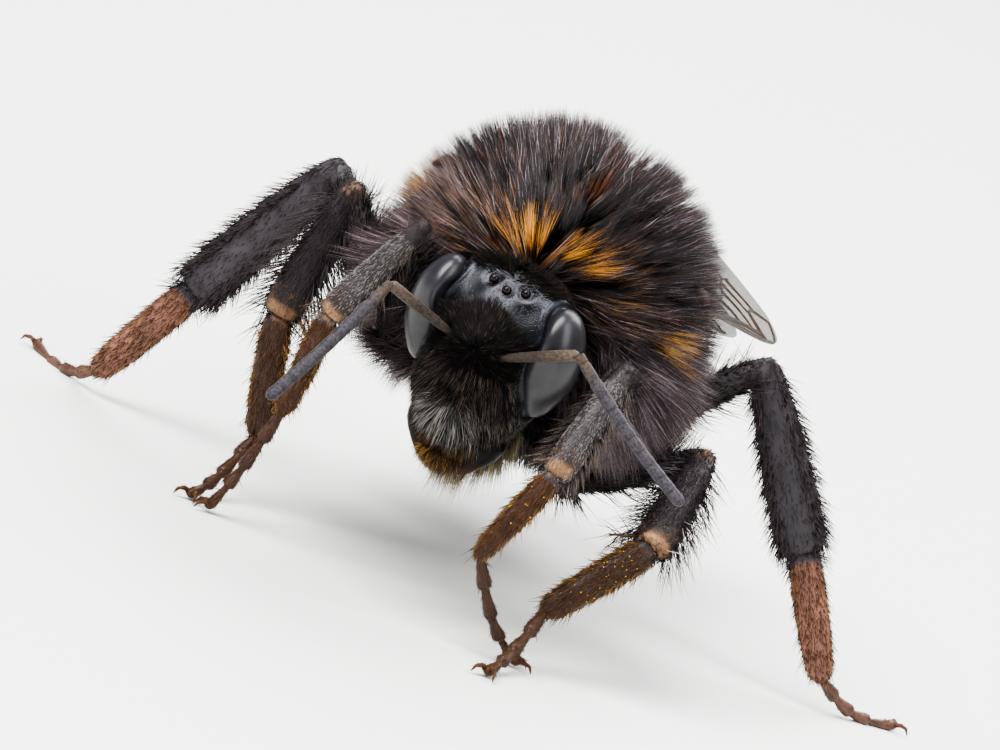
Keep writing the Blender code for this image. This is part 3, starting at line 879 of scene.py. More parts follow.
def head_parts(tree):
    for side, sign in SIDES.items():
        bm = ellipsoid(EYE_HALF, 64, 48)
        for vert in bm.verts:
            vert.co.y *= 1 + 0.14 * vert.co.z / EYE_HALF[2]
            vert.co.x *= eye_waist(vert.co.x * sign, vert.co.z / EYE_HALF[2])
        middle = Matrix.Translation((EYE_CENTRE[0] * sign, *EYE_CENTRE[1:]))
        place("eye_lens_" + side, bm, EYE, HEAD @ middle @ turn(-EYE_LEAN * sign, "Y"),
              ("eye_" + side,))
        antenna(side, sign)
        mandible(side, sign)
    for number, spot in enumerate(OCELLI, 1):
        bm = ellipsoid((OCELLUS_RADIUS,) * 3, 24, 16, tree.find_nearest(spot)[0])
        place("ocellus_" + str(number), bm, OCELLUS, HEAD)
    labrum()
    tongue()


# Along the scape, share of its length and radius
SCAPE_ROWS = ((-0.06, 0.09), (0.02, 0.12), (0.06, 0.085), (0.10, 0.105), (0.25, 0.125), (0.5, 0.14),
              (0.8, 0.15), (0.95, 0.145), (0.985, 0.10), (1.0, 0.04))
# The flagellum's joints, as shares of its length, and the radius of the pedicel, the next and the rest
FEELER_JOINTS = (0.0, 0.055, 0.165, *(0.165 + 0.0928 * number for number in range(1, 10)))
FEELER_RADII = (0.130, 0.145, 0.160)
FEELER_RING = ((0.02, 0.93), (0.10, 0.99), (0.5, 1.01), (0.75, 1.01), (0.90, 1.0), (0.98, 0.94))
FEELER_END = 0.955      # the last ring is rounded off from here
SCAPE_BOW = 0.07
FLAGELLUM_DROOP = 0.12


def antenna(side, sign):
    """Scape, then the pedicel and ten rings of the flagellum."""
    socket = HEAD @ Vector((SOCKET[0] * sign, *SOCKET[1:]))
    aims = [Vector((out * sign, -ahead, up)).normalized() for out, ahead, up in ANTENNA_AIM[side]]
    elbow = socket + aims[0] * SCAPE_LENGTH
    tip = elbow + aims[1] * FLAGELLUM_LENGTH
    bm = bmesh.new()
    bow = aims[0].cross(Vector((0, 0, 1))).normalized() * SCAPE_BOW
    tube(bm, [socket + aims[0] * SCAPE_LENGTH * at + bow * math.sin(math.pi * at)
              for at, _ in SCAPE_ROWS], [radius for _, radius in SCAPE_ROWS], 16)
    scape = place("antenna_scape_" + side, bm, FEELER, Matrix(), ("scape_" + side,))
    share = (row_mm(scape) - np.array(socket)) @ np.array(aims[0]) / SCAPE_LENGTH
    mix = smooth_step(0.5, 1.0, share)[:, None]
    paint(scape, tone("#2b2420") + (tone("#443a31") - tone("#2b2420")) * mix)
    bm = bmesh.new()
    path, radii = [], []
    for number, (first, last) in enumerate(zip(FEELER_JOINTS, FEELER_JOINTS[1:])):
        for part, fullness in FEELER_RING:
            at = first + (last - first) * part
            droop = FLAGELLUM_DROOP * math.sin(math.pi * at)
            path.append(elbow.lerp(tip, at) - Vector((0, 0, droop)))
            rounding = max(0.0, at - FEELER_END) / (1.004 - FEELER_END)
            radii.append(FEELER_RADII[min(number, 2)] * fullness * math.sqrt(1 - rounding ** 2))
    path.append(tip + aims[1] * 0.012)
    radii.append(0.015)
    tube(bm, path, radii, 16)
    flagellum = place("antenna_flagellum_" + side, bm, FEELER, Matrix(),
                      ("flagellum_" + side,))
    share = (row_mm(flagellum) - np.array(elbow)) @ np.array(aims[1]) / FLAGELLUM_LENGTH
    mix = smooth_step(0.05, 0.22, share)[:, None]
    off_joint = np.abs(share[:, None] - np.array(FEELER_JOINTS)[None]).min(axis=1)
    ring_line = 1 - 0.3 * (off_joint < 0.004)[:, None]
    paint(flagellum, (tone("#3a3029") + (tone("#302d31") - tone("#3a3029")) * mix) * ring_line)


def mandible(side, sign):
    """A curved scoop, hinged at the cheek and closing under the labrum."""
    hinge = Vector((JAW_HINGE[0] * sign, *JAW_HINGE[1:]))
    tip = Vector((JAW_TIP[0] * sign, *JAW_TIP[1:]))
    line = tip - hinge
    run = line.normalized()
    across = run.cross(Vector((0, 1, 0))).normalized()
    deep = run.cross(across).normalized()
    bm = bmesh.new()
    rings = []
    for at, wide, thick in ((-0.18, 0.22, 0.20), (-0.05, 0.36, 0.33), (0.12, 0.40, 0.36),
                            (0.35, 0.36, 0.30), (0.6, 0.34, 0.24), (0.8, 0.36, 0.18),
                            (0.95, 0.30, 0.12), (1.02, 0.16, 0.06)):
        bow = Vector((0.10 * sign, -0.12, 0)) * math.sin(math.pi * min(max(at, 0), 1))
        rings.append(ring(bm, hinge + line * at + bow, across * wide, deep * thick, 24, 2.3))
    skin_over(bm, rings)
    bmesh.ops.bisect_plane(bm, geom=bm.verts[:] + bm.edges[:] + bm.faces[:], dist=1e-5,
                           plane_co=(0.03 * sign, 0, 0), plane_no=(-sign, 0, 0), clear_outer=True)
    bmesh.ops.holes_fill(bm, edges=[edge for edge in bm.edges if edge.is_boundary], sides=0)
    jaw = place("jaw_" + side, bm, JAW, HEAD, ("mandible_" + side,))
    local = into(HEAD, row_mm(jaw))
    share = smooth_step(-2.4, -2.9, local[:, 2])[:, None]
    paint(jaw, tone("#0a0808") + (tone("#2a120a") - tone("#0a0808")) * share)


def labrum():
    bm = ellipsoid([half * 0.86 for half in LABRUM_HALF], 32, 20, LABRUM_CENTRE)
    lip = place("labrum_plate", bm, JAW, HEAD, ("labrum",))
    paint(lip, np.tile(tone("#3a2212"), (len(lip.data.vertices), 1)))
    rng = np.random.default_rng(14)
    root, normal = roots_on(lip, LABRUM_HAIRS, rng)
    p, n = into(HEAD, root), into(HEAD, normal, direction=True)
    keep = (n[:, 1] < 0.35) & (n[:, 2] < 0.7)
    root, normal, p, n = root[keep], normal[keep], p[keep], n[keep]
    lie = rows_of(p[:, 0] * 0.5, -0.05, -1.0)
    aim = out_of(HEAD, lean(n, lie, 22, rng, 0.16), direction=True)
    length = LABRUM_HAIR[0] * rng.normal(1, 0.2, len(root)).clip(0.4, 1.5)
    low = vary(np.tile(tone("#2a1b0d"), (len(root), 1)), rng)
    golden = (rng.random(len(root)) < 0.5 - 0.42 * smooth_step(-0.3, 0.2, p[:, 0]))[:, None]
    high = vary(np.where(golden, tone("#b3863e"), tone("#3f2a18")), rng, 0.3)
    uv = unwrap_round(p - np.array(LABRUM_CENTRE), 1, -LABRUM_HALF[1], LABRUM_HALF[1])
    strands("labrum_tuft", root, aim, length, LABRUM_HAIR[1], low, high, uv, "golden_coat")


def tongue():
    """Two sheaths folded back under the head, side by side."""
    bm = bmesh.new()
    for sign in (1, -1):
        rings = []
        for at, wide, thick in ((0.0, 0.12, 0.14), (0.1, 0.18, 0.20), (0.45, 0.18, 0.19),
                                (0.8, 0.13, 0.15), (1.0, 0.05, 0.07)):
            centre = Vector((0.17 * sign, 0.05 + 1.85 * at, -2.86 + 0.01 * at))
            rings.append(ring(bm, centre, (wide, 0, 0), (0, 0, thick), 16))
        skin_over(bm, rings)
    place("tongue_sheaths", bm, TONGUE, HEAD, ("proboscis",))


# Lift off the skin, length and width, root and tip tone, share and tone of the glints, finish
FACE_PILE = {
    "velvet": (36, 0.36, 0.022, "#050404", "#0d0a0b", 0.04, "#574536", VELVET),
    "face": (22, 0.44, 0.022, "#060505", "#161314", 0.17, "#75695e", VELVET),
    "shield_edge": (18, 0.44, 0.022, "#080606", "#1c1817", 0.21, "#938a80", VELVET),
    "shield_fine": (24, 0.52, 0.016, "#1a1613", "#7b7773", 0.4, "#bdb8b0", HAIR),
    "mouth_fringe": (18, 0.44, 0.024, "#120b07", "#3f2b18", 0.30, "#94703a", HAIR),
    "cheek": (24, 0.34, 0.026, "#0c0908", "#3f3835", 0.30, "#918373", HAIR),
    "crown": (34, 0.32, 0.024, "#040303", "#0d0907", 0.10, "#3f2a1a", VELVET),
    "vertex": (26, 0.42, 0.018, "#060505", "#100c0a", 0.06, "#4a3220", VELVET),
    "beard": (40, 1.05, 0.020, "#1f1811", "#6a5f45", 0.35, "#a39878", HAIR)}
FACE_HUB = (0.0, -1.4, 0.42)        # the pile of the face spreads from here, between the feelers


def face_regions(p, n, metric, draw):
    """Which roots carry each kind of pile and how it lies; a draw for each root thins them."""
    x, y, z = p.T
    wide = np.abs(x)
    clear = metric > 1.13
    front = (n[:, 1] < -0.15) & clear
    shield = np.sqrt(((x - 0.02) / 0.50) ** 2 + ((z + 1.30) / 0.46) ** 2)
    velvet_top = 1.42 - 0.45 * smooth_step(0.1, 1.15, wide)
    # A smooth strip runs down inside each eye to the hinge of the jaw.
    strip = (metric < 1.42) | ((z < 0.25) & (wide > 0.50 + 0.50 * smooth_step(-2.1, -0.3, z)))
    away = unit((p - np.array(FACE_HUB)) * (1, 0, 1))
    down = np.tile([0.0, -0.05, -1.0], (len(p), 1))
    fan = unit(rows_of(x, 0.0, z + 0.75)) + down * 0.4
    velvet = front & (z > 0.05) & (z < velvet_top) & ~(strip & (draw > 0.35))
    face = front & (z <= 0.05) & (z > -0.95) & (shield > 1.1) & ~(strip & (draw > 0.18))
    shield_edge = front & (z <= -0.8) & (z > -2.25) & (shield > 1.0) & ~(strip & (draw > 0.14))
    cheek = (n[:, 1] > -0.15) & (n[:, 1] < 0.75) & clear & (z < 1.5) & (wide > 0.8)
    vertex = (z > 1.5) & (y > -0.42) & (y <= 0.10) & (metric > 1.25)
    return {
        "velvet": (velvet, away + (0, -0.1, 0.25)),
        "face": (face & (draw < 0.75), away * 0.7 + down * 0.9),
        "shield_edge": (shield_edge & (draw < 0.55), fan * 0.6 + down * 0.6),
        "shield_fine": ((n[:, 1] < -0.15) & (shield <= 1.25) & (draw < 0.035), fan),
        "mouth_fringe": ((z <= -1.95) & (n[:, 1] < 0.3) & (draw < 0.42),
                         down + rows_of(x * 0.3, -0.1, 0.0)),
        "cheek": (cheek & (draw < 0.22), rows_of(0 * x, 0.8, -0.5)),
        "crown": ((z > 1.75) & (y > 0.10) & clear & (draw < 0.16), rows_of(x * 0.4, 0.5, 1.0)),
        "vertex": (vertex & (draw < 0.20 * smooth_step(-0.45, 0.0, y)),
                   rows_of(np.sign(x) * 0.8, 0.2, 0.1)),
        "beard": ((z < -1.4) & (n[:, 1] > 0.1) & (draw < 0.24), down + (0, 0.25, 0))}


def face_coat(head):
    """Short pile of the head, region by region."""
    rng = np.random.default_rng(13)
    root, normal = roots_on(head, FACE_HAIRS, rng)
    p = into(HEAD, root)
    n = into(HEAD, normal, direction=True)
    metric = eye_metric(p)
    regions = face_regions(p, n, metric, rng.random(len(p)))
    for label, (lift, length, width, low, high, share, glint, kind) in FACE_PILE.items():
        chosen, lie = regions[label]
        picked = np.nonzero(chosen)[0]
        count = len(picked)
        aim = lean(n[picked], lie[picked], lift, rng, 0.13)
        long_each = length * rng.normal(1, 0.16, count).clip(0.5, 1.5)
        # The pile is shortest beside the eyes.
        long_each *= 0.35 + 0.65 * smooth_step(1.1, 1.6, metric[picked])
        aim = out_of(HEAD, aim, direction=True)
        aim = gather(root[picked], aim, long_each, 0.35, 14, rng, 0.12)[0]
        lows = np.tile(tone(low), (count, 1))
        highs = np.tile(tone(high), (count, 1))
        highs[rng.random(count) < share] = tone(glint)
        uv = unwrap_round(p[picked], 2, HEAD_RINGS[0][0] - 0.3, HEAD_RINGS[-1][0] + 0.2)
        curl = out_of(HEAD, unit(lie[picked]), direction=True) * 0.18
        strands("face_coat_" + label, root[picked], aim, long_each, width, vary(lows, rng),
                vary(highs, rng, 0.3), uv, "face_coat", curl, length > 0.5, kind)


# ---------------------------------------------------------------- legs
# Along each segment, share of its length and of its full width and depth
LEG_SHAPES = {
    "coxa": ((-0.30, 0.50), (-0.1, 0.85), (0.15, 1.0), (0.5, 1.0), (0.85, 0.85), (1.0, 0.66),
             (1.07, 0.35)),
    "femur": ((-0.05, 0.35), (0.0, 0.62), (0.08, 0.78), (0.3, 1.0), (0.6, 0.95), (0.85, 0.82),
              (0.97, 0.74), (1.03, 0.55), (1.06, 0.3)),
    "tibia": ((-0.05, 0.30), (0.0, 0.55), (0.1, 0.68), (0.35, 0.86), (0.6, 0.96), (0.8, 1.0),
              (0.93, 0.97), (0.985, 0.85), (1.01, 0.5)),
    "basitarsus": ((-0.05, 0.35), (0.0, 0.60), (0.06, 0.88), (0.3, 1.0), (0.65, 0.95), (0.88, 0.84),
                   (0.98, 0.66), (1.03, 0.3)),
    "tarsus": ((-0.02, 0.40), (0.03, 0.60), (0.15, 0.95), (0.22, 1.05), (0.24, 0.70), (0.27, 0.60),
               (0.38, 0.92), (0.45, 1.02), (0.47, 0.68), (0.50, 0.58), (0.60, 0.88), (0.67, 0.98),
               (0.69, 0.62), (0.72, 0.52), (0.84, 0.72), (0.95, 0.86), (1.0, 0.70), (1.02, 0.35))}
JOINT_BALL = 0.62       # radius of the ball in each joint, as a share of the segment's half depth
# Tone of the shell, and root and tip tone of the bristles, by segment
LEG_TONES = {
    "front": ("#141012", "#141012", "#2c2728", "#38241c", "#33211a"),
    "middle": ("#141012", "#141012", "#1c1719", "#2d1f1a", "#3a261c"),
    "hind": ("#141012", "#161214", "#343034", "#755043", "#52392f")}
BRISTLE_TONES = (("#0e0b0a", "#2e2624"), ("#0e0b0b", "#332c2c"), ("#100c0d", "#463d3f"),
                 ("#21150f", "#664730"), ("#20150f", "#5f4630"))
# By segment: length of the bristles, the share of them kept, the share that a fringe hair stands
# beside, how far out to the edge those start, and the fringe's length
BRISTLE_LENGTHS = (0.50, 0.34, 0.24, 0.24, 0.16)
BRISTLE_SHARES = (0.75, 0.75, 0.85, 0.85, 0.6)
FRINGE_SHARES = {"front": (0.25, 0.12, 0.24, 0.10, 0.02), "middle": (0.25, 0.12, 0.24, 0.10, 0.02),
                 "hind": (0.25, 0.12, 0.55, 0.10, 0.02)}
FRINGE_EDGES = (0.0, 0.55, 0.75, 0.7, 0.7)
FRINGE_LENGTHS = {"front": (0.75, 0.85, 0.6, 0.36, 0.25), "middle": (0.75, 0.85, 1.0, 0.36, 0.25),
                  "hind": (0.75, 0.85, 0.5, 0.36, 0.25)}
SPUR_LENGTHS = {"front": 0.5, "middle": 1.05, "hind": 0.6}


def leg_joints(leg):
    """The six points from hip to foot."""
    pair, side = leg.split("_")
    hip, lengths, _ = LEG_BUILD[pair]
    points = [BODY @ Vector((hip[0] * SIDES[side], hip[1], hip[2]))]
    for length, pose in zip(lengths, LEG_POSE[leg]):
        if isinstance(pose, tuple):
            swing, rise = (math.radians(angle) for angle in pose)
        else:
            swing = math.radians(pose)
            rise = -math.asin((points[-1].z - FOOT_HEIGHT) / length)
        step = Vector((SIDES[side] * math.cos(swing) * math.cos(rise),
                       -math.sin(swing) * math.cos(rise), math.sin(rise)))
        points.append(points[-1] + step * length)
    return points


def leg_axes(leg, index):
    """A segment's two ends and its directions along, across and deep."""
    points = leg_joints(leg)
    run = (points[index + 1] - points[index]).normalized()
    across = run.cross(Vector((0, 1, 0))).normalized()
    return points[index], points[index + 1], run, across, run.cross(across).normalized()


def leg_skin(leg):
    """All five segments of a leg, each ending in a narrowed joint that enters the next."""
    pair = leg.split("_")[0]
    bm = bmesh.new()
    for index, kind in enumerate(SEGMENTS):
        start, end, _, across, deep = leg_axes(leg, index)
        half_width, half_depth = (half - LEG_INSET for half in LEG_BUILD[pair][2][index])
        square = 2.3 if kind in ("tibia", "basitarsus") else 2.0
        rows = LEG_SHAPES[kind]
        steps = (len(rows) - 1) * 3
        rings = []
        for step in range(steps + 1):
            at, fullness = between(rows, step / steps)
            middle = start + (end - start) * at
            if kind == "tarsus":
                middle += Vector((0, 0, -FOOT_SAG * math.sin(math.pi * min(max(at, 0), 1))))
            rings.append(ring(bm, middle, across * half_width * fullness,
                              deep * half_depth * fullness, 20, square))
        skin_over(bm, rings)
        if index:
            bmesh.ops.create_icosphere(bm, subdivisions=3, radius=half_depth * JOINT_BALL,
                                       matrix=Matrix.Translation(start))
    # The foot is cut off flat at the floor.
    bmesh.ops.bisect_plane(bm, geom=bm.verts[:] + bm.edges[:] + bm.faces[:], dist=1e-5,
                           plane_co=(0, 0, 0), plane_no=(0, 0, -1), clear_outer=True)
    bmesh.ops.holes_fill(bm, edges=[edge for edge in bm.edges if edge.is_boundary], sides=0)
    claws(bm, leg)
    spurs(bm, leg)
    return place("leg_" + leg, bm, LEG_SHELL, Matrix(),
                 [leg + "_" + kind for kind in SEGMENTS])


def claws(bm, leg):
    """Two hooked claws at the foot."""
    _, end, run, _, _ = leg_axes(leg, 4)
    flat = Vector((run.x, run.y, 0)).normalized()
    beside = flat.cross(Vector((0, 0, 1)))
    for sign in (1, -1):
        base = Vector((end.x, end.y, 0.20)) + beside * 0.07 * sign - flat * 0.05
        path = [base, base + flat * 0.16 + beside * 0.10 * sign + Vector((0, 0, 0.07)),
                base + flat * 0.32 + beside * 0.20 * sign + Vector((0, 0, 0.02)),
                base + flat * 0.40 + beside * 0.24 * sign + Vector((0, 0, -0.14))]
        tube(bm, path, (0.075, 0.062, 0.042, 0.012), 10)


def spurs(bm, leg):
    """Spurs stand at the inner end of the shin: one in front, two on the hind leg."""
    pair, side = leg.split("_")
    _, end, run, _, deep = leg_axes(leg, 2)
    inner = Vector((-SIDES[side], 0, 0))
    inner = (inner - run * inner.dot(run)).normalized()
    reach = SPUR_LENGTHS[pair]
    for number in range(2 if pair == "hind" else 1):
        base = end - run * 0.32 + inner * LEG_BUILD[pair][2][2][1] * 0.6 + deep * 0.16 * number
        aim = (inner + run * 0.62).normalized()
        tube(bm, [base, base + aim * reach * 0.5, base + aim * reach], (0.06, 0.045, 0.008), 8)


def leg_places(leg, points):
    """Which segment each point belongs to, how far along it and its place around it."""
    pair = leg.split("_")[0]
    best = np.full(len(points), 1e9)
    segment, share, angle = (np.zeros(len(points)) for _ in range(3))
    for index in range(5):
        start, end, run, across, deep = (np.array(part) for part in leg_axes(leg, index))
        length = np.linalg.norm(end - start)
        along = (points - start) @ run / length
        near = start + np.clip(along, 0, 1)[:, None] * (end - start)
        if index == 4:
            near[:, 2] -= FOOT_SAG * np.sin(math.pi * np.clip(along, 0, 1))
        off = points - near
        away = np.linalg.norm(off, axis=1) / LEG_BUILD[pair][2][index][0]
        closer = away < best
        best[closer] = away[closer]
        segment[closer] = index
        share[closer] = along[closer]
        angle[closer] = np.arctan2(off @ deep, off @ across)[closer]
    return segment.astype(int), share, angle


def leg_tints(leg, segment, share, facing):
    """Tones of the shell, with tan ends on the fore and middle shins and brown claws."""
    pair = leg.split("_")[0]
    table = np.array([tone(code) for code in LEG_TONES[pair]])
    colors = table[segment]
    apex = (segment == 2) * smooth_step(0.89, 0.94, share) * smooth_step(1.04, 1.0, share)
    apex = (apex * smooth_step(-0.55, -0.80, facing) * (pair != "hind"))[:, None]
    colors = colors + (tone("#7d5c42") - colors) * apex
    claw = ((segment == 4) * smooth_step(0.8, 1.05, share))[:, None]
    # The knee of each middle leg has a pale spot.
    knee = (segment == 2) * smooth_step(0.07, 0.02, share) * smooth_step(0.1, -0.3, facing)
    colors = colors + (tone("#6d5448") - colors) * knee[:, None] * (pair == "middle")
    return colors + (tone("#4a2a14") - colors) * claw * 0.7


def leg_coat(leg, skin, number):
    """Bristles lying towards the foot, then the fringes and the pollen among them."""
    pair = leg.split("_")[0]
    rng = np.random.default_rng(30 + number)
    root, normal = roots_on(skin, LEG_HAIRS, rng)
    segment, share, angle = leg_places(leg, root)
    lie = np.array([leg_axes(leg, index)[2] for index in range(5)])[segment]
    edge = np.abs(np.cos(angle))
    lengths = np.array(BRISTLE_LENGTHS)[segment]
    thin = np.array(BRISTLE_SHARES)[segment]
    if pair == "hind":
        # The shin's broad faces are a bare polished basket inside long curved fringes.
        bare = (segment == 2) & (edge < 0.8)
        thin = np.where(bare, 0.28, thin)
    keep = (rng.random(len(root)) < thin) & (share < 1.15) & (root[:, 2] > 0.12)
    root, normal, lie, segment, share, angle, lengths, edge = (
        part[keep] for part in (root, normal, lie, segment, share, angle, lengths, edge))
    count = len(root)
    aim = lean(normal, lie, 24, rng, 0.10)
    lengths = lengths * rng.normal(1, 0.18, count).clip(0.5, 1.6)
    low = np.array([tone(code) for code, _ in BRISTLE_TONES])[segment]
    high = np.array([tone(code) for _, code in BRISTLE_TONES])[segment]
    # The shin ends in a short brown felt; the first foot joint has golden edges.
    apex = (segment == 2) & (share > 0.78) & (normal[:, 1] < -0.3) & (pair != "hind")
    felt = apex & (rng.random(count) < 0.5)
    low[felt], high[felt] = tone("#3a281a"), tone("#8a6544")
    # The front of each fore shin is silvered by a short down.
    front_face = (segment == 2) & (pair == "front") & (normal[:, 1] < 0.2)
    lengths = np.where(apex | front_face, lengths * 0.55, lengths)
    silver = front_face & ~felt & (share > 0.12) & (rng.random(count) < 0.75)
    high[silver] = tone("#b3aba9")
    gold = (segment == 3) & (edge > 0.80) & (rng.random(count) < (0.3 if pair == "hind" else 0.55))
    low[gold], high[gold] = tone("#402812"), tone("#94703f")
    cell = (number + segment / 5) / 6
    uv = np.stack([cell + (angle / (2 * math.pi) + 0.5) / 30, np.clip(share, 0, 1)], axis=1)
    uv = np.clip(uv, 0, 1 - PATCH)
    lengths = above_floor(root, aim, lengths, 0.5)
    strands("leg_coat_" + leg, root, aim, lengths, LEG_HAIR_WIDTH, vary(low, rng),
            vary(high, rng, 0.3), uv, "black_plate", bent=False)
    leg_fringe(leg, (root, normal, lie, segment, share, edge, low, high, uv),
               ~apex & (share > 0.06), rng)
    if leg in POLLEN_GRAINS:
        caught = (segment == 3) & (share > 0.2) & (share < 0.8) & (normal[:, 1] < 0.1)
        pollen(leg, root[caught], normal[caught], rng)


def above_floor(root, aim, length, share):
    """Shorten the hairs that would reach the floor to a share of their length."""
    return np.where(root[:, 2] + aim[:, 2] * length < 0.02, length * share, length)


def leg_fringe(leg, hairs, clear, rng):
    """Longer hairs under the thigh and along both edges of the shin and the first foot joint."""
    pair, side = leg.split("_")
    root, normal, lie, segment, share, edge, low, high, uv = hairs
    chosen = rng.random(len(root)) < np.array(FRINGE_SHARES[pair])[segment]
    chosen &= (edge > np.array(FRINGE_EDGES)[segment]) & clear
    if pair == "front":
        # The fringe of the fore shin hangs from its lower edge.
        chosen &= (segment != 2) | (normal[:, 2] < 0.25)
        high[segment == 2] = tone("#6d605a")
    root, normal, lie, segment, share, low, high, uv = (
        part[chosen] for part in (root, normal, lie, segment, share, low, high, uv))
    count = len(root)
    reach = np.array(FRINGE_LENGTHS[pair])[segment] * rng.normal(1, 0.2, count).clip(0.4, 1.5)
    aim = lean(normal, lie, 48, rng, 0.16)
    # A few long white hairs stand among the black ones outside her left middle shin.
    pale = (segment == 2) & (share > 0.35) & (normal[:, 0] * SIDES[side] > 0.3)
    pale &= (leg == "middle_left") & (rng.random(count) < 0.10) & (normal[:, 1] < 0.3)
    low[pale], high[pale] = tone("#9a948a"), tone("#d5d0c6")
    reach = above_floor(root, aim, np.where(pale, reach * 1.25, reach), 0.4)
    strands("leg_fringe_" + leg, root, aim, reach, LEG_HAIR_WIDTH, vary(low, rng),
            vary(high, rng, 0.3), uv, "black_plate", lie * 0.22)


POLLEN_RADIUS = 0.017
POLLEN_GRAINS = {"front_left": 12, "middle_left": 34}


def pollen(leg, spots, normal, rng):
    """Grains of pollen caught among the bristles of the first foot joint."""
    bm = bmesh.new()
    for index in rng.choice(len(spots), POLLEN_GRAINS[leg], replace=False):
        middle = Vector(spots[index] + normal[index] * 0.05)
        bmesh.ops.create_icosphere(bm, subdivisions=1, radius=POLLEN_RADIUS * rng.uniform(0.7, 1.2),
                                   matrix=Matrix.Translation(middle))
    place("pollen_" + leg, bm, POLLEN, Matrix())


# ---------------------------------------------------------------- wings
MEMBRANE_THICKNESS = 0.05
WING_SET = {"fore": (0, 0, 0), "hind": (-0.5, 0.9, -0.6)}      # out, back and up from the hinge
# Each vein's radius and its points: share along the wing, share of the chord from the front edge
FORE_VEINS = (
    (0.085, ((0.0, 0.06), (0.15, 0.03), (0.4, 0.02), (0.62, 0.015))),
    (0.070, ((0.0, 0.14), (0.15, 0.10), (0.35, 0.09), (0.55, 0.06), (0.62, 0.03))),
    (0.050, ((0.0, 0.34), (0.15, 0.33), (0.30, 0.32), (0.45, 0.35), (0.62, 0.45), (0.78, 0.52))),
    (0.050, ((0.30, 0.32), (0.33, 0.22), (0.36, 0.10))),
    (0.045, ((0.30, 0.32), (0.36, 0.50), (0.46, 0.60), (0.60, 0.64), (0.70, 0.68))),
    (0.045, ((0.47, 0.36), (0.485, 0.25), (0.50, 0.09))),
    (0.045, ((0.60, 0.44), (0.615, 0.34), (0.63, 0.22))),
    (0.045, ((0.74, 0.50), (0.765, 0.38), (0.78, 0.24))),
    (0.055, ((0.60, 0.04), (0.64, 0.20), (0.75, 0.25), (0.86, 0.20), (0.94, 0.10))),
    (0.050, ((0.62, 0.015), (0.78, 0.015), (0.94, 0.10))),
    (0.040, ((0.50, 0.38), (0.515, 0.48), (0.50, 0.61))),
    (0.040, ((0.68, 0.48), (0.69, 0.57), (0.66, 0.66))),
    (0.055, ((0.0, 0.62), (0.15, 0.78), (0.35, 0.84), (0.48, 0.88))),
    (0.040, ((0.30, 0.34), (0.31, 0.6), (0.30, 0.83))))
HIND_VEINS = (
    (0.060, ((0.0, 0.12), (0.25, 0.05), (0.55, 0.03))),
    (0.045, ((0.0, 0.45), (0.20, 0.42), (0.42, 0.42), (0.72, 0.40))),
    (0.040, ((0.42, 0.42), (0.44, 0.25), (0.50, 0.05))),
    (0.045, ((0.0, 0.72), (0.20, 0.74), (0.38, 0.76), (0.55, 0.84))),
    (0.038, ((0.34, 0.42), (0.36, 0.6), (0.36, 0.76))))
VEINS = {"fore": FORE_VEINS, "hind": HIND_VEINS}


def wing_point(kind, side, along, across):
    """A place on the wing: share of its length, share of the chord back from the front edge."""
    length, chord = WING_SIZE[kind]
    swell = math.sin(math.pi * along ** 1.5) ** 0.55 if 0 < along < 1 else 0.0
    width = chord * max(0.15 if along < 0.5 else 0.08, swell)
    lead = 0.3 * math.sin(math.pi * along) - 0.26 * chord * along ** 8
    crease = 0.05 * math.sin(across * 9.0) * math.sin(math.pi * along)
    return Vector((side * (lead - across * width), along * length, crease))


def membrane(kind, side, frame_of):
    """One wing's membrane, with its rows of faces closer together towards the tip."""
    bm = bmesh.new()
    bmesh.ops.create_grid(bm, x_segments=20, y_segments=48, size=0.5)
    for vert in bm.verts:
        along = 1 - (1 - (vert.co.y + 0.5)) ** 1.3
        vert.co = wing_point(kind, SIDES[side], min(max(along, 0), 1), vert.co.x + 0.5)
    bmesh.ops.recalc_face_normals(bm, faces=bm.faces[:])
    height = sum(vert.co.z for vert in bm.verts) / len(bm.verts)
    bmesh.ops.solidify(bm, geom=bm.faces[:], thickness=MEMBRANE_THICKNESS)
    # The membrane is centred on its veins, so that they show from above and below.
    height -= sum(vert.co.z for vert in bm.verts) / len(bm.verts)
    bmesh.ops.translate(bm, verts=bm.verts[:], vec=(0, 0, height))
    place("wing_" + kind + "_" + side, bm, MEMBRANE, frame_of, (kind + "wing_" + side,))


def veins(kind, side, frame_of):
    bm = bmesh.new()
    for radius, points in VEINS[kind]:
        steps = 6 * (len(points) - 1)
        path = [wing_point(kind, SIDES[side], *between(points, step / steps))
                for step in range(steps + 1)]
        radii = [radius * (1 - 0.35 * step / steps) for step in range(steps + 1)]
        tube(bm, path, radii, 8)
    place("veins_" + kind + "_" + side, bm, VEIN, frame_of)


def tegula(side, sign):
    """The scale over the wing's root, flatter below than above."""
    roof = (BODY @ Matrix.Translation((TEGULA_PLACE[0] * sign, *TEGULA_PLACE[1:]))
            @ turn(WING_ROOF * sign, "Y"))
    bm = ellipsoid([half * 0.72 for half in TEGULA_HALF], 40, 24, (-0.34 * sign, 0.05, -0.24))
    for vert in bm.verts:
        if vert.co.z < 0:
            vert.co.z *= 0.5
    place("tegula_scale_" + side, bm, AMBER, roof, ("tegula_" + side,))


def wing_hinge(side, sign):
    """Three small plates that join the wings' roots to the thorax."""
    bm = bmesh.new()
    root = Vector((WING_ROOT[0] * sign, *WING_ROOT[1:]))
    for back, out, radius in ((0.0, -0.1, 0.34), (0.55, -0.25, 0.28), (1.1, -0.45, 0.24)):
        middle = root + Vector((out * sign, back, -0.12))
        inner = middle + Vector((-0.85 * sign, -0.1, -0.3))
        tube(bm, [inner, inner.lerp(middle, 0.6), middle, middle + Vector((0.12 * sign, 0.2, 0))],
             (radius * 0.7, radius, radius * 0.95, radius * 0.3), 14)
    place("wing_hinge_" + side, bm, WING_ROOT_PLATE, BODY)


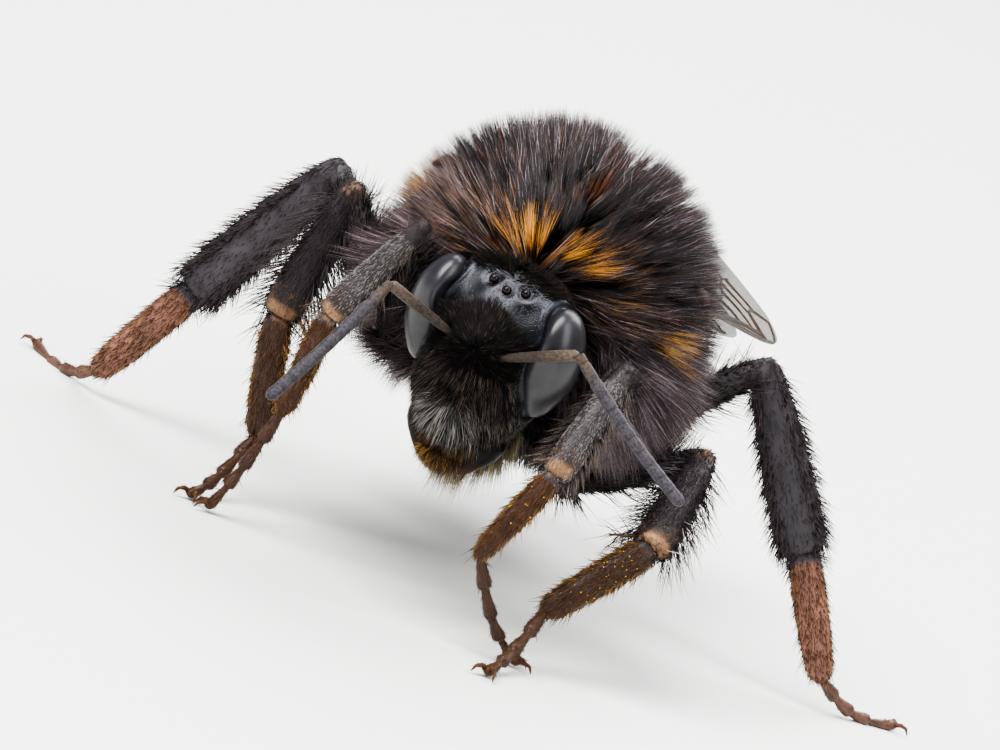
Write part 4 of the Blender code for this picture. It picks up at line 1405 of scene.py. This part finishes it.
def wings():
    for side, sign in SIDES.items():
        hinge = (BODY @ Matrix.Translation((WING_ROOT[0] * sign, *WING_ROOT[1:]))
                 @ turn(-WING_FOLD[side] * sign, "Z") @ turn(-WING_SLOPE, "X")
                 @ turn(WING_ROOF * sign, "Y"))
        for kind, (out, back, up) in WING_SET.items():
            frame_of = hinge @ Matrix.Translation((out * sign, back, up))
            membrane(kind, side, frame_of)
            veins(kind, side, frame_of)
        tegula(side, sign)
        wing_hinge(side, sign)


# ---------------------------------------------------------------- stage
SUBJECT = (-0.07, -8.30, 6.84)      # the middle of the head
# Each light's azimuth and elevation, width and height in metres, and power in watts
LIGHTS = {"key": (-38, 56, 0.8, 1.6, 90), "fill": (62, 38, 0.8, 1.6, 26),
          "rim": (165, 45, 1.4, 1.0, 45)}
LIGHT_DISTANCE = 1.6                # metres
CAMERA_FROM = (6, 9)                # azimuth and elevation
CAMERA_ROLL = 24
CAMERA_DISTANCE = 110
CAMERA_SHIFT = (0.20, 0.43)         # right and down
CAMERA_LENS = 156.8
CAMERA_SENSOR = 36
CAMERA_REACH = (0.005, 30)          # metres


def toward(azimuth, elevation):
    """The way from the bee to a light or the camera; azimuth 0 is straight ahead of her."""
    az, el = math.radians(azimuth), math.radians(elevation)
    return Vector((math.sin(az) * math.cos(el), -math.cos(az) * math.cos(el), math.sin(el)))


def stage():
    bm = bmesh.new()
    bmesh.ops.create_grid(bm, x_segments=1, y_segments=1, size=6.0)
    mesh = bpy.data.meshes.new("floor")
    bm.to_mesh(mesh)
    bm.free()
    mesh.materials.append(finish("pale_floor", Roughness=0.6, Base_Color=(*linear("#dfe0dc"), 1))[0])
    link("floor", mesh)
    world = bpy.data.worlds.new("studio")
    world.use_nodes = True
    background = world.node_tree.nodes["Background"]
    background.inputs["Color"].default_value = (*linear("#e8ecf2"), 1)
    background.inputs["Strength"].default_value = 0.40
    bpy.context.scene.world = world
    for name, (azimuth, elevation, width, height, power) in LIGHTS.items():
        light = bpy.data.lights.new(name, "AREA")
        light.shape = "RECTANGLE"
        light.size, light.size_y = width, height
        light.energy = power
        off = toward(azimuth, elevation)
        lamp = link(name, light)
        lamp.location = Vector(SUBJECT) * MM + off * LIGHT_DISTANCE
        lamp.rotation_euler = off.to_track_quat("Z", "Y").to_euler()
    bpy.context.scene.view_settings.look = "AgX - Medium High Contrast"


def camera():
    azimuth, roll = math.radians(CAMERA_FROM[0]), math.radians(CAMERA_ROLL)
    back = toward(*CAMERA_FROM)
    level = Vector((math.cos(azimuth), math.sin(azimuth), 0))
    upright = back.cross(level)
    right = math.cos(roll) * level + math.sin(roll) * upright
    up = -math.sin(roll) * level + math.cos(roll) * upright
    spot = (Vector(SUBJECT) + right * CAMERA_SHIFT[0] - up * CAMERA_SHIFT[1]
            + back * CAMERA_DISTANCE) * MM
    data = bpy.data.cameras.new("camera")
    data.lens = CAMERA_LENS
    data.sensor_width = CAMERA_SENSOR
    data.clip_start, data.clip_end = CAMERA_REACH
    matrix = Matrix((right, up, back)).transposed().to_4x4()
    matrix.translation = spot
    obj = link("camera", data)
    obj.matrix_world = matrix
    bpy.context.scene.camera = obj


# ---------------------------------------------------------------- making her
def make():
    trunk = trunk_skin()
    paint_trunk(trunk)
    head, head_tree = head_skin()
    paint_head(head)
    head_parts(head_tree)
    thorax_coat(trunk)
    abdomen_coat(trunk)
    face_coat(head)
    for number, leg in enumerate(LEG_POSE):
        skin = leg_skin(leg)
        segment, share, _ = leg_places(leg, row_mm(skin))
        paint(skin, leg_tints(leg, segment, share, facing_of(skin)[:, 1]))
        leg_coat(leg, skin, number)
    wings()
    stage()
    camera()


make()
